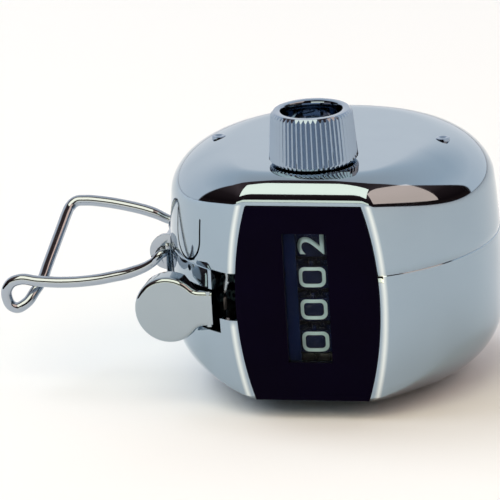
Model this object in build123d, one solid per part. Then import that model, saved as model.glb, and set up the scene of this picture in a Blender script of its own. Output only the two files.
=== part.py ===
from build123d import *
import math
import os

os.makedirs("parts", exist_ok=True)

# Hand tally counter, millimetres.  +Z runs up the number wheels' axis towards the reset knob,
# the window faces -Y, the thumb lever and the finger ring are on the -X side.
# The origin is the centre of the flat base, on the axis of the drum-shaped case.

# ---------------------------------------------------------------- driving dimensions
case_radius = 23.5          # widest radius of the drum, at the belly
case_height = 35.2          # base to deck
belly_height = 17.5
base_shrink = 1.25          # radius lost from the belly to the base
deck_shrink = 1.35          # radius lost from the belly to the deck
flat_setback = 2.94         # depth of the flat front inside the widest radius
wall = 0.8
seam_height = 21.3          # where the two shells meet
deck_round = 4.6
base_round = 3.4
corner_round = 0.8
neck_height = 2.2           # lower shell's neck inside the upper shell
neck_wall = 0.6

panel_thickness = 0.4
panel_base = 2.9
panel_top = 31.3
panel_inset = 0.75          # corner of the flat front to the panel's side
window_width = 6.3
window_height = 18.9
lens_thickness = 0.7
mask_thickness = 0.2
mask_edge = -1.5            # X of the mask's free edge, just short of the digits

wheel_count = 4
wheel_radius = 7.0
wheel_width = 3.2
wheel_pitch = 4.75
first_wheel_height = 10.8   # middle of the lowest wheel
wheel_depth = 2.46          # panel face to the wheel faces
digit_count = 10
gear_thickness = 0.7
carry_radius = 5.4
carry_depth = 1.1
hub_radius = 2.6
shaft_radius = 1.5

gear_module = 0.62
wheel_teeth = 20
pinion_teeth = 8
tooth_addendum = 0.5
tooth_dedendum = 0.75
tooth_backlash = 0.14
pinion_angle = 20.0         # direction of the pinion shaft from the wheel shaft
pinion_shaft_radius = 0.8

plate_thickness = 1.2
plate_inset = 3.1           # case radius to the plates' edge
plate_front_inset = 3.36    # flat front to the plates' front edge
lower_plate_gap = 0.6       # lower plate to the lowest wheel
upper_plate_gap = 2.3       # units wheel to the upper plate
pillar_radius = 1.8
pillar_inset = 7.3          # case radius to the side pillars' middles
rear_pillar_inset = 9.5
foot_ring = 8.0             # distance of the three feet from the case axis
foot_turns = (90.0, 202.0, 338.0)
screw_radius = 0.8
screw_head_radius = 1.6
deck_rivet_radius = 1.1

ratchet_thickness = 1.0
ratchet_tip = 4.8
ratchet_root = 3.4
ratchet_face_angle = 240.5

lever_pivot_offset = (-5.0, 10.5)   # X and Y from the wheel shaft
lever_stroke = 14.0
lever_hub_radius = 2.0
lever_pin_radius = 1.0
thumb_radius = 4.8
thumb_inset = 2.75          # case radius to the pad's middle
thumb_centre_z = 15.0
thumb_setback = 2.16        # flat front to the thumb pad's face
thumb_sheet = 0.8
thumb_skirt = 3.2
lever_bend_inset = 9.2      # case radius to the lever's bend
neck_low = 12.7
neck_high = 17.9
lever_arm_top = 20.4
lever_arm_sheet = 1.0
slot_margin = 0.5
slot_front = 10.05          # distance of the slot's front end from the middle of the flat front
slot_end_turn = 214.5       # direction of the slot's other end from the case axis
gate_end_turn = 233.2
gate_lift = 1.6

pawl_pivot_offset = (-15.0, 3.5)    # X and Y from the wheel shaft
pawl_pin_radius = 0.7
pawl_tip_angle = 245.0
pawl_tip_radius = 4.2
pawl_thickness = 0.8
pawl_width = 1.4

knob_base_radius = 6.27
knob_top_radius = 5.77
knob_height = 7.3
knob_gap = 0.25
knob_bore_radius = 4.35
knob_floor = 3.0
knob_ridges = 52
ridge_depth = 0.32
knob_rim = 0.75

ear_radius = 3.5
ear_sheet = 0.8
ear_spacing = 12.0          # between the middles of the two ears
ring_pivot_gap = 0.2        # belly to the finger ring's hinge
ring_pivot_height = 19.8
ring_wire_radius = 0.65
bracket_sheet = 0.8
rivet_shank_radius = 0.6    # the two rivets of the ring's bracket
rivet_head_radius = 1.1
rivet_height = 18.3
bracket_rivet_turns = (171.8, 188.2)
saddle_gap = 0.02

spring_wire = 0.3
spring_leg = 6.0
anchor_radius = 0.6
detent_post_offset = (13.0, -2.0)   # X and Y from the wheel shaft
detent_post_radius = 0.9
detent_leaf = 0.25

tongue_direction = 218.5    # locking tongue pressed out of the upper shell, on the lever side
tongue_width = 7.0
tongue_slit = 0.35
tongue_height = 6.8
tongue_lift = 0.25          # seam to the bottom of the tongue
release_hole_radius = 0.45
release_hole_drop = 0.9

running_clearance = 0.05    # radial, pins and shafts in their holes
side_clearance = 0.1        # along a shaft, between turning pieces

# ---------------------------------------------------------------- derived places
flat_distance = case_radius - flat_setback
panel_face = flat_distance + panel_thickness
axis_y = -(panel_face - wheel_depth - wheel_radius)
lever_pivot = (lever_pivot_offset[0], axis_y + lever_pivot_offset[1])
pawl_pivot = (pawl_pivot_offset[0], axis_y + pawl_pivot_offset[1])
detent_post_place = (detent_post_offset[0], axis_y + detent_post_offset[1])
thumb_face = flat_distance - thumb_setback
thumb_centre_x = thumb_inset - case_radius
lever_bend_x = lever_bend_inset - case_radius
lever_elbow_y = -thumb_face + lever_arm_sheet / 2
ring_pivot = (-case_radius - ring_pivot_gap, ring_pivot_height)
bracket_low = ring_pivot_height - 3.3
bracket_high = seam_height - 0.1
plate_radius = case_radius - plate_inset
plate_front = flat_distance - plate_front_inset
wheel_heights = [first_wheel_height + wheel_pitch * index for index in range(wheel_count)]
units_top = wheel_heights[-1] + wheel_width / 2
lower_plate_top = wheel_heights[0] - wheel_width / 2 - lower_plate_gap
lower_plate_base = lower_plate_top - plate_thickness
upper_plate_base = units_top + upper_plate_gap
upper_plate_top = upper_plate_base + plate_thickness
ratchet_base = units_top + side_clearance
ratchet_middle = ratchet_base + ratchet_thickness / 2
centre_distance = gear_module * (wheel_teeth + pinion_teeth) / 2
pinion_x = centre_distance * math.cos(math.radians(pinion_angle))
pinion_y = axis_y + centre_distance * math.sin(math.radians(pinion_angle))
wheel_gap = wheel_pitch - wheel_width
pinion_thickness = wheel_gap - 2 * side_clearance
pillar_ring = case_radius - pillar_inset
pillar_places = [(pillar_ring, 0.0), (-pillar_ring, 0.0), (0.0, case_radius - rear_pillar_inset)]
deck_places = pillar_places[:2]
knob_hole_radius = shaft_radius + running_clearance + 1.0
window_base = (wheel_heights[0] + wheel_heights[-1]) / 2 - window_height / 2
deck_inside = case_height - wall


def save(shape, name):
    export_step(shape, f"parts/{name}.step")


def cylinder_between(x, y, low, high, radius):
    return Pos(x, y, (low + high) / 2) * Cylinder(radius, high - low)


def tube_between(x, y, low, high, radius, bore):
    return cylinder_between(x, y, low, high, radius) - cylinder_between(x, y, low, high, bore)


def block(x_range, y_range, z_range):
    size = [high - low for low, high in (x_range, y_range, z_range)]
    middle = [(high + low) / 2 for low, high in (x_range, y_range, z_range)]
    return Pos(*middle) * Box(*size)


def on_circle(radius, angle, centre=(0.0, 0.0)):
    turn = math.radians(angle)
    return (centre[0] + radius * math.cos(turn), centre[1] + radius * math.sin(turn))


foot_places = [on_circle(foot_ring, turn) for turn in foot_turns]


def case_radius_at(height):
    """Radius of the barrel-shaped side at a height."""
    if height > belly_height:
        share = (height - belly_height) / (case_height - belly_height)
        return case_radius - deck_shrink * share ** 2
    share = (belly_height - height) / belly_height
    return case_radius - base_shrink * share ** 2


# ---------------------------------------------------------------- case
def cut_front(body, inset):
    """Slice the flat front off a round body."""
    front = -(flat_distance - inset)
    return body - block((-30, 30), (front - 20, front), (-5, case_height + 5))


def drum():
    """Outside of the case: a barrel with a flat front and rounded edges."""
    base_edge = case_radius - base_shrink
    deck_edge = case_radius - deck_shrink
    side = ThreePointArc((base_edge, 0), (case_radius, belly_height), (deck_edge, case_height))
    outline = Polyline((deck_edge, case_height), (0, case_height), (0, 0), (base_edge, 0)) + side
    body = cut_front(revolve(make_face(Plane.XZ * outline), Axis.Z), 0)
    corners = [
        edge for edge in body.edges()
        if abs(edge.center().Y + flat_distance) < 0.05 and abs(edge.center().X) > 3
    ]
    body = fillet(corners, corner_round)
    body = fillet(body.edges().group_by(Axis.Z)[-1], deck_round)
    return fillet(body.edges().group_by(Axis.Z)[0], base_round)


def hollow(inset):
    """The drum moved in by inset, with bevels where its flat front meets the deck and the base."""
    low = inset
    high = case_height - inset
    base_edge = case_radius - base_shrink - inset
    deck_edge = case_radius - deck_shrink - inset
    base_arc = base_round - inset
    deck_arc = deck_round - inset
    slant = math.sqrt(0.5)
    ends = Polyline((deck_edge - deck_arc, high), (0, high), (0, low), (base_edge - base_arc, low))
    base_corner = ThreePointArc(
        (base_edge - base_arc, low),
        (base_edge - base_arc + base_arc * slant, low + base_arc - base_arc * slant),
        (base_edge, low + base_arc))
    side = ThreePointArc(
        (base_edge, low + base_arc), (case_radius - inset, belly_height), (deck_edge, high - deck_arc))
    deck_corner = ThreePointArc(
        (deck_edge, high - deck_arc),
        (deck_edge - deck_arc + deck_arc * slant, high - deck_arc + deck_arc * slant),
        (deck_edge - deck_arc, high))
    outline = ends + base_corner + side + deck_corner
    body = cut_front(revolve(make_face(Plane.XZ * outline), Axis.Z), inset)
    for height, radius, tilt in ((case_height, deck_round, -45), (0, base_round, 45)):
        depth = radius * (math.sqrt(2) - 1) + inset
        bevel = Rot(tilt, 0, 0) * (Pos(0, depth - 10, 0) * Box(60, 20, 20))
        body -= Pos(0, -flat_distance, height) * bevel
    return body


def radial_pin(turn, inner, outer, radius):
    """Round pin that points out from the case axis, at the finger ring's rivet height."""
    pin = Pos((inner + outer) / 2, 0, rivet_height) * (Rot(0, 90, 0) * Cylinder(radius, outer - inner))
    return Rot(0, 0, turn) * pin


def shell_band(outer_inset, inner_inset, low, high):
    """The wall between two insets of the drum, from one height to another."""
    ring = hollow(outer_inset) - hollow(inner_inset)
    return ring & block((-30, 30), (-30, 30), (low, high))


def flat_half_width(height, distance):
    return math.sqrt(case_radius_at(height) ** 2 - distance ** 2)


def window_cutter(grow=0.0):
    return block(
        (-window_width / 2 - grow, window_width / 2 + grow),
        (-panel_face - 1, -flat_distance + wall + 1),
        (window_base - grow, window_base + window_height + grow),
    )


whole_shell = drum() - hollow(wall)
tongue_top = seam_height + tongue_height
tongue_round = tongue_width / 2
tongue_round_height = seam_height + tongue_lift + tongue_round


def tongue_slit_cutter():
    outline = Pos(0, tongue_round_height) * Circle(tongue_round + tongue_slit / 2)
    outline -= Pos(0, tongue_round_height) * Circle(tongue_round - tongue_slit / 2)
    outline -= Pos(0, tongue_round_height + 5) * Rectangle(20, 10)
    for side in (-1, 1):
        middle = (tongue_top + tongue_round_height) / 2
        run = Rectangle(tongue_slit, tongue_top - tongue_round_height)
        outline += Pos(side * tongue_round, middle) * run
    cutter = extrude(outline, amount=8)
    facing = Plane(origin=(0, 0, 0), x_dir=(0, 1, 0), z_dir=(1, 0, 0))
    return Rot(0, 0, tongue_direction) * (Pos(case_radius - 5.5, 0, 0) * (facing * cutter))


def upper_shell():
    shell = whole_shell & block((-30, 30), (-30, 30), (seam_height, case_height + 1))
    shell -= window_cutter()
    shell -= tongue_slit_cutter()
    shell -= cylinder_between(0, axis_y, deck_inside - 1, case_height + 1, knob_hole_radius)
    for x, y in deck_places:
        shell -= cylinder_between(x, y, deck_inside - 1, case_height + 1, deck_rivet_radius)
    shell -= slot_cutter()
    return shell


def slot_cutter():
    """Opening for the thumb lever: a narrow track for its neck and a taller gate beside the panel."""
    reach = case_radius + 2
    rest = 360 + math.degrees(math.atan2(-flat_distance, -slot_front))

    def sector(first, last, low, high):
        points = [(0, 0), on_circle(reach * 1.2, first), on_circle(reach * 1.2, last)]
        wedge = extrude(make_face(Polyline(*points, close=True)), amount=high - low)
        ring = cylinder_between(0, 0, 0, high - low, reach + 3)
        ring -= cylinder_between(0, 0, -1, high - low + 1, case_radius - 4.5)
        return Pos(0, 0, low) * (wedge & ring)

    track = sector(slot_end_turn, rest, neck_low - slot_margin, neck_high + slot_margin)
    gate = sector(gate_end_turn, rest, neck_low + gate_lift, seam_height)
    return track + gate


def lower_shell():
    shell = whole_shell & block((-30, 30), (-30, 30), (-1, seam_height))
    neck = shell_band(wall + running_clearance, wall + running_clearance + neck_wall,
                      seam_height - 1.0, seam_height + neck_height)
    joint = shell_band(wall - 0.1, wall + running_clearance + neck_wall,
                       seam_height - 2.2, seam_height - 0.6)
    neck -= block((-6, 6), (-30, -15), (seam_height - 4, seam_height + 5))
    shell += joint
    shell += neck
    shell -= window_cutter()
    shell -= block((-window_width / 2 - 1.2, window_width / 2 + 1.2), (-flat_distance + wall, -15),
                   (seam_height - 3, seam_height + 4))
    neck_slot = slot_cutter()
    shell -= neck_slot
    lever_side = (lever_bend_x - 3.2, lever_bend_x + 7.1)
    shell -= block(lever_side, (-case_radius, lever_elbow_y + 6), (seam_height - 0.001, seam_height + 4))
    for x, y in foot_places:
        screw_hole = cylinder_between(x, y, -1, wall + 0.5, screw_radius)
        countersink = Pos(x, y, wall / 2) * Cone(screw_head_radius, screw_radius, wall)
        shell -= screw_hole + countersink
    hole = Rot(0, 90, 0) * Cylinder(release_hole_radius, 12)
    hole = Pos(case_radius - 4.5, 0, seam_height - release_hole_drop) * hole
    shell -= Rot(0, 0, tongue_direction + 1.5) * hole
    for turn in bracket_rivet_turns:
        shell -= radial_pin(turn, case_radius - 5, case_radius + 3, rivet_shank_radius)
    return shell


# ---------------------------------------------------------------- panel and lens
def window_panel():
    low_half = flat_half_width(panel_base, flat_distance) - panel_inset
    middle_half = flat_half_width(belly_height, flat_distance) - panel_inset
    high_half = flat_half_width(panel_top, flat_distance) - panel_inset
    right = ThreePointArc((low_half, panel_base), (middle_half, belly_height), (high_half, panel_top))
    top = Line((high_half, panel_top), (-high_half, panel_top))
    left = ThreePointArc(
        (-high_half, panel_top), (-middle_half, belly_height), (-low_half, panel_base))
    bottom = Line((-low_half, panel_base), (low_half, panel_base))
    face = make_face(Plane.XZ * (right + top + left + bottom))
    plate = extrude(face, amount=panel_thickness, dir=(0, -1, 0))
    plate = Pos(0, -flat_distance, 0) * plate
    return plate - window_cutter()


def window_lens():
    """Clear pane that fills the wall's opening behind the panel."""
    fit = running_clearance
    return block(
        (-window_width / 2 + fit, window_width / 2 - fit),
        (-flat_distance, -flat_distance + lens_thickness),
        (window_base + fit, window_base + window_height - fit),
    )


def window_mask():
    """Dark strip on the back of the pane that hides the neighbouring digits."""
    fit = running_clearance
    return block(
        (-window_width / 2 + fit, mask_edge),
        (-flat_distance + lens_thickness, -flat_distance + lens_thickness + mask_thickness),
        (window_base + fit, window_base + window_height - fit),
    )


# ---------------------------------------------------------------- frame
def frame_plate(base):
    plate = cylinder_between(0, 0, base, base + plate_thickness, plate_radius)
    plate -= block((-30, 30), (-30, -plate_front), (base - 1, base + plate_thickness + 1))
    low = base - 1
    high = base + plate_thickness + 1
    plate -= cylinder_between(0, axis_y, low, high, shaft_radius + running_clearance)
    plate -= cylinder_between(pinion_x, pinion_y, low, high, pinion_shaft_radius)
    plate -= cylinder_between(*lever_pivot, low, high, lever_pin_radius)
    for x, y in pillar_places + (foot_places if base == lower_plate_base else []):
        plate -= cylinder_between(x, y, low, high, screw_radius)
    return plate


def posts(places, low, high):
    """Tubular spacers, one at each place, bored for the screws or rivets."""
    return Compound(children=[
        tube_between(x, y, low, high, pillar_radius, screw_radius) for x, y in places])


def frame_pillars():
    """Pillars between the two plates, each with a spigot staked in the lower plate."""
    pillars = []
    for x, y in pillar_places:
        tube = tube_between(x, y, lower_plate_top, upper_plate_base, pillar_radius, screw_radius)
        pillars.append(tube + cylinder_between(x, y, lower_plate_base, lower_plate_top + 2, screw_radius))
    return Compound(children=pillars)


def base_screws():
    """Countersunk screws that hold the base to the lower plate through the feet."""
    shank_top = lower_plate_top
    screws = []
    for x, y in foot_places:
        head = Pos(x, y, wall / 2) * Cone(screw_head_radius, screw_radius, wall)
        screw = head + cylinder_between(x, y, wall / 2, shank_top, screw_radius)
        screw -= block((x - 2, x + 2), (y - 0.2, y + 0.2), (-0.1, 0.35))
        screws.append(screw)
    return Compound(children=screws)


def case_rivets():
    """Domed rivets that hold the deck to its two posts."""
    rivets = []
    for x, y in deck_places:
        shank = cylinder_between(x, y, upper_plate_base - 3, deck_inside, screw_radius)
        rivet = shank + cylinder_between(x, y, deck_inside, case_height, deck_rivet_radius)
        cap = Pos(x, y, case_height - 2.5) * Sphere(2.75)
        cap &= cylinder_between(x, y, case_height, case_height + 1, deck_rivet_radius)
        rivets.append(rivet + cap)
    return Compound(children=rivets)


# ---------------------------------------------------------------- gears and number wheels
def gear_outline(teeth, backlash):
    pitch_radius = gear_module * teeth / 2
    root = pitch_radius - tooth_dedendum
    tip = pitch_radius + tooth_addendum
    pitch_half = (math.pi * gear_module / 2 - backlash) / 2
    flank = math.tan(math.radians(22.0))
    tip_half = pitch_half - tooth_addendum * flank
    root_half = pitch_half + tooth_dedendum * flank * 0.6
    points = []
    for tooth in range(teeth):
        middle = 360.0 * tooth / teeth
        for radius, half in ((root, -root_half), (tip, -tip_half), (tip, tip_half), (root, root_half)):
            points.append(on_circle(radius, middle + math.degrees(half / radius)))
    return make_face(Polyline(*points, close=True))


def wheel_gear(base):
    gear = extrude(gear_outline(wheel_teeth, tooth_backlash), amount=gear_thickness)
    return Pos(0, axis_y, base) * (Rot(0, 0, pinion_angle) * gear)


def number_wheel(index):
    middle = wheel_heights[index]
    low = middle - wheel_width / 2
    high = middle + wheel_width / 2
    is_units = index == wheel_count - 1
    is_last = index == 0
    wheel = cylinder_between(0, axis_y, low, high, wheel_radius)
    pocket = tube_between(0, axis_y, low + 0.9, high + 5, wheel_radius - 1.0, hub_radius)
    if is_units:
        wheel -= pocket
    if not is_units:
        wheel += wheel_gear(high)
    if not is_last:
        wheel += cylinder_between(0, axis_y, low - gear_thickness, low, carry_radius)
        notch = on_circle(carry_radius, pinion_angle + 18, (0, axis_y))
        wheel -= cylinder_between(*notch, low - gear_thickness - 1, low, carry_depth)
    bore = cylinder_between(0, axis_y, 0, case_height, shaft_radius + running_clearance)
    return wheel - bore


def ratchet_wheel():
    """Ten-tooth saw wheel pressed onto the units wheel's hub face."""
    points = []
    for tooth in range(digit_count):
        face = ratchet_face_angle + 360.0 * tooth / digit_count
        points.append(on_circle((ratchet_root + ratchet_tip) / 2, face - 180.0 / digit_count))
        points.append(on_circle(ratchet_tip, face))
        points.append(on_circle(ratchet_root, face))
    wheel = extrude(make_face(Polyline(*points, close=True)), amount=ratchet_thickness)
    wheel = Pos(0, axis_y, ratchet_base) * wheel
    wheel += tube_between(0, axis_y, units_top, ratchet_base + 0.01, hub_radius, shaft_radius + 0.2)
    return wheel - cylinder_between(0, axis_y, 0, case_height, shaft_radius + running_clearance)


def carry_pinion(index):
    """Eight-tooth pinion that gears with the wheel below the gap."""
    base = wheel_heights[index] + wheel_width / 2 + side_clearance
    gear = extrude(gear_outline(pinion_teeth, tooth_backlash), amount=pinion_thickness)
    half_tooth = 180.0 / pinion_teeth
    turned = Rot(0, 0, pinion_angle + 180.0 + half_tooth) * gear
    turned = Pos(pinion_x, pinion_y, base) * turned
    bore = pinion_shaft_radius + running_clearance
    return turned - cylinder_between(pinion_x, pinion_y, 0, case_height, bore)


def pinion_spacers():
    """Sleeves that keep the pinions level with the gaps between the wheels."""
    edges = [lower_plate_top]
    for index in range(wheel_count - 1):
        base = wheel_heights[index] + wheel_width / 2 + side_clearance
        edges += [base - side_clearance / 2, base + pinion_thickness + side_clearance / 2]
    edges.append(upper_plate_base)
    sleeves = []
    for low, high in zip(edges[::2], edges[1::2]):
        sleeves.append(tube_between(pinion_x, pinion_y, low, high, 1.35, pinion_shaft_radius))
    return Compound(children=sleeves)


# ---------------------------------------------------------------- reset shaft and knob
knob_base = case_height + knob_gap
knob_top = knob_base + knob_height
seat_height = knob_base + knob_floor


def wheel_shaft():
    groove_depth = 0.45
    clip_groove = lower_plate_base - 0.6
    shaft = cylinder_between(0, axis_y, clip_groove - 0.9, seat_height, shaft_radius)
    groove = block(
        (-0.3, 0.3), (axis_y - shaft_radius - 1, axis_y - shaft_radius + groove_depth),
        (lower_plate_top + 0.2, units_top))
    shaft -= groove
    shaft -= tube_between(0, axis_y, clip_groove, clip_groove + 0.5, shaft_radius + 1, 1.1)
    shaft -= cylinder_between(0, axis_y, seat_height - 3.5, seat_height + 1, screw_radius)
    return shaft


def shaft_clip():
    clip_groove = lower_plate_base - 0.6
    ring = tube_between(0, axis_y, clip_groove + 0.05, clip_groove + 0.45, 2.5, 1.12)
    mouth = block((-0.8, 0.8), (axis_y - 4, axis_y), (clip_groove - 1, clip_groove + 2))
    return ring - mouth


def wheel_spacer():
    """Washer between the lowest wheel and the lower plate."""
    low = lower_plate_top
    high = wheel_heights[0] - wheel_width / 2 - side_clearance
    return tube_between(0, axis_y, low, high, 2.8, shaft_radius + running_clearance)


def knob_bush():
    """Flanged bush in the deck that carries the top of the shaft."""
    bore = shaft_radius + running_clearance
    stem = knob_hole_radius - running_clearance
    bush = tube_between(0, axis_y, deck_inside - 1.2, case_height, stem, bore)
    bush += tube_between(0, axis_y, case_height, case_height + knob_gap - side_clearance / 2, 4.4, bore)
    return bush + tube_between(0, axis_y, deck_inside - 1.2, deck_inside, knob_hole_radius + 0.8, bore)


def ridged_face(radius):
    points = []
    for ridge in range(knob_ridges):
        step = 360.0 / knob_ridges
        middle = ridge * step
        points.append(on_circle(radius - ridge_depth, middle - 0.5 * step))
        points.append(on_circle(radius, middle - 0.16 * step))
        points.append(on_circle(radius, middle + 0.16 * step))
    return make_face(Polyline(*points, close=True))


def reset_knob():
    ridge_top = knob_height - knob_rim
    share = ridge_top / knob_height
    top_radius = knob_base_radius + (knob_top_radius - knob_base_radius) * share
    ridges = loft([ridged_face(knob_base_radius), Pos(0, 0, ridge_top) * ridged_face(top_radius)],
                  ruled=True)
    rim_top = knob_bore_radius + 0.35
    rim = Pos(0, 0, ridge_top + knob_rim / 2) * Cone(top_radius - ridge_depth / 2, rim_top, knob_rim)
    knob = ridges + rim
    knob -= cylinder_between(0, 0, knob_floor, knob_height + 1, knob_bore_radius)
    knob -= cylinder_between(0, 0, -1, knob_floor + 1, shaft_radius)
    under = knob_base_radius - 1.6
    knob -= tube_between(0, 0, -1, 1.2, under, shaft_radius + 1.1)
    return Pos(0, axis_y, knob_base) * knob


def knob_screw():
    head = cylinder_between(0, axis_y, seat_height, seat_height + 1.3, 2.5)
    head = chamfer(head.edges().group_by(Axis.Z)[-1], 0.35)
    screw = head + cylinder_between(0, axis_y, seat_height - 3.2, seat_height, screw_radius)
    slot = block((-4, 4), (axis_y - 0.3, axis_y + 0.3), (seat_height + 0.7, seat_height + 2))
    return screw - slot


# ---------------------------------------------------------------- thumb lever
def thumb_outline(shrink=0.0):
    """Face of the thumb pad and its neck, in X and Z."""
    radius = thumb_radius - shrink
    pad = Pos(thumb_centre_x, thumb_centre_z) * Circle(radius)
    neck_middle = (neck_low + neck_high) / 2
    neck_half = (neck_high - neck_low) / 2 - shrink
    throat = Pos((thumb_centre_x + lever_bend_x) / 2, neck_middle)
    neck = throat * Rectangle(lever_bend_x - thumb_centre_x, 2 * neck_half)
    outline = pad + neck
    inner = [vertex for vertex in outline.vertices() if abs(vertex.X - lever_bend_x) > 1]
    return fillet(inner, 1.6)


def thumb_lever():
    front = Plane.XZ.offset(thumb_face)
    pad = extrude(front * thumb_outline(), amount=-thumb_sheet)
    pad = fillet(pad.faces().sort_by(Axis.Y)[0].edges().filter_by(GeomType.CIRCLE), 0.45)
    skirt = extrude(front * thumb_outline(0.02), amount=-thumb_skirt)
    skirt -= Pos(0, 1, 0) * extrude(front * thumb_outline(thumb_sheet), amount=-thumb_skirt - 2)
    skirt = skirt & block((-40, lever_bend_x), (-thumb_face + 0.46, 0), (0, 40))
    near_case = cylinder_between(0, 0, 0, 40, case_radius + 0.6)
    skirt -= near_case
    lever = pad + skirt

    elbow = (lever_bend_x - lever_arm_sheet / 2, lever_elbow_y)
    hub_x, hub_y = lever_pivot
    length = math.hypot(hub_x - elbow[0], hub_y - elbow[1])
    direction = math.degrees(math.atan2(hub_y - elbow[1], hub_x - elbow[0]))
    gate_end = 2.6
    arm_face = Polyline(
        (0, neck_low), (length, neck_low), (length, lever_arm_top),
        (gate_end + 1.0, lever_arm_top), (gate_end - 1.2, neck_high), (0, neck_high), close=True)
    arm = extrude(make_face(Plane.XZ * arm_face), amount=lever_arm_sheet / 2, both=True)
    arm = Pos(elbow[0], elbow[1], 0) * (Rot(0, 0, direction) * arm)
    bend = cylinder_between(*elbow, neck_low, neck_high, lever_arm_sheet / 2)
    lever += arm
    lever += bend

    hub_low = lower_plate_top + side_clearance
    hub_high = upper_plate_base - side_clearance
    lever += cylinder_between(hub_x, hub_y, hub_low, hub_high, lever_hub_radius)
    lever += pawl_arm()
    return lever - cylinder_between(hub_x, hub_y, 0, 40, lever_pin_radius + running_clearance)


def pawl_arm():
    """Flat arm from the lever's hub to the drive pawl's pin, just below the pawl."""
    top = ratchet_middle - pawl_thickness / 2 - side_clearance
    base = top - 1.0
    start = Vector(*lever_pivot)
    end = Vector(*pawl_pivot)
    middle = (start + end) * 0.5
    length = (end - start).length
    direction = math.degrees(math.atan2(end.Y - start.Y, end.X - start.X))
    bar = Pos(middle.X, middle.Y, (top + base) / 2) * (Rot(0, 0, direction) * Box(length, 3.0, top - base))
    arm = bar + cylinder_between(end.X, end.Y, base, top, 1.8)
    return arm - cylinder_between(end.X, end.Y, base - 1, top + 1, pawl_pin_radius)


def drive_pawl_pin():
    base = ratchet_middle - pawl_thickness / 2 - side_clearance - 1.0
    top = ratchet_middle + pawl_thickness / 2 + side_clearance
    pin = cylinder_between(*pawl_pivot, base, top, pawl_pin_radius)
    return pin + cylinder_between(*pawl_pivot, top, top + 0.4, 1.2)


def drive_pawl():
    """Hook that pulls the ratchet round by one tooth."""
    centre = (0.0, axis_y)
    tip = on_circle(pawl_tip_radius - 0.3, pawl_tip_angle, centre)
    knee = on_circle(pawl_tip_radius + 1.75, pawl_tip_angle, centre)
    length = math.hypot(knee[0] - pawl_pivot[0], knee[1] - pawl_pivot[1])
    direction = math.degrees(math.atan2(knee[1] - pawl_pivot[1], knee[0] - pawl_pivot[0]))
    low = ratchet_middle - pawl_thickness / 2
    bar = Rot(0, 0, direction) * (Pos(length / 2, 0, 0) * Box(length, pawl_width, pawl_thickness))
    pawl = Pos(*pawl_pivot, ratchet_middle) * bar
    pawl += cylinder_between(*pawl_pivot, low, low + pawl_thickness, 1.5)
    pawl += cylinder_between(*knee, low, low + pawl_thickness, pawl_width / 2)
    side_a = on_circle(pawl_tip_radius + 1.9, pawl_tip_angle - 4.0, centre)
    side_b = on_circle(pawl_tip_radius + 1.9, pawl_tip_angle + 7.0, centre)
    tip_b = on_circle(pawl_tip_radius - 0.1, pawl_tip_angle + 4.0, centre)
    hook = extrude(make_face(Polyline(side_a, tip, tip_b, side_b, close=True)), amount=pawl_thickness)
    pawl += Pos(0, 0, low) * hook
    return pawl - cylinder_between(*pawl_pivot, 0, 40, pawl_pin_radius + running_clearance)


def lever_pivot_pin():
    pin = cylinder_between(*lever_pivot, lower_plate_base, upper_plate_top, lever_pin_radius)
    return pin + cylinder_between(*lever_pivot, upper_plate_top, upper_plate_top + 0.6, 1.7)


def pinion_shaft():
    shaft = cylinder_between(pinion_x, pinion_y, lower_plate_base, upper_plate_top, pinion_shaft_radius)
    return shaft + cylinder_between(pinion_x, pinion_y, upper_plate_top, upper_plate_top + 0.5, 1.4)


# ---------------------------------------------------------------- springs
def lever_return_spring():
    """Torsion spring round the lever's hub, below its arm; its fixed leg bears on the anchor pin."""
    coil_radius = lever_hub_radius + 0.25 + spring_wire
    base = lower_plate_top + 0.5
    turns_height = neck_low - base - 0.8
    path = Helix(pitch=0.72, height=turns_height, radius=coil_radius)
    section = Plane(origin=path @ 0, z_dir=path % 0) * Circle(spring_wire)
    coil = sweep(section, path=path, is_frenet=True)
    coil = Pos(*lever_pivot, base) * coil
    start = path @ 0
    leg_start = (lever_pivot[0] + start.X, lever_pivot[1] + start.Y)
    leg = Pos(leg_start[0], leg_start[1] + spring_leg / 2, base)
    return coil + leg * (Rot(90, 0, 0) * Cylinder(spring_wire, spring_leg))


def spring_anchor():
    """Pin on the lower plate that takes the push of the lever spring's fixed leg."""
    leg_x = lever_pivot[0] + lever_hub_radius + 0.25 + spring_wire
    pin_x = leg_x + spring_wire + running_clearance + anchor_radius
    pin_y = lever_pivot[1] + spring_leg - 2 * anchor_radius
    return cylinder_between(pin_x, pin_y, lower_plate_top, lower_plate_top + 1.6, anchor_radius)


def detent_post():
    return cylinder_between(*detent_post_place, ratchet_base - 0.2, upper_plate_base, detent_post_radius)


def detent_spring():
    """Leaf that stops the units wheel running back; its free end rests on the ratchet's teeth."""
    touch = on_circle(ratchet_tip + 0.15, 5.0, (0.0, axis_y))
    post_x, post_y = detent_post_place
    direction = math.degrees(math.atan2(post_y - touch[1], post_x - touch[0]))
    length = math.hypot(post_x - touch[0], post_y - touch[1])
    offset = detent_post_radius + detent_leaf / 2
    blade = Box(length, detent_leaf, 0.9)
    blade = Rot(0, 0, direction) * (Pos(length / 2, offset, 0) * blade)
    leaf = Pos(touch[0], touch[1], ratchet_middle) * blade
    low = ratchet_middle - 0.45
    outside = detent_post_radius + detent_leaf
    clasp = tube_between(post_x, post_y, low, low + 0.9, outside, detent_post_radius)
    return leaf + clasp


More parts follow.
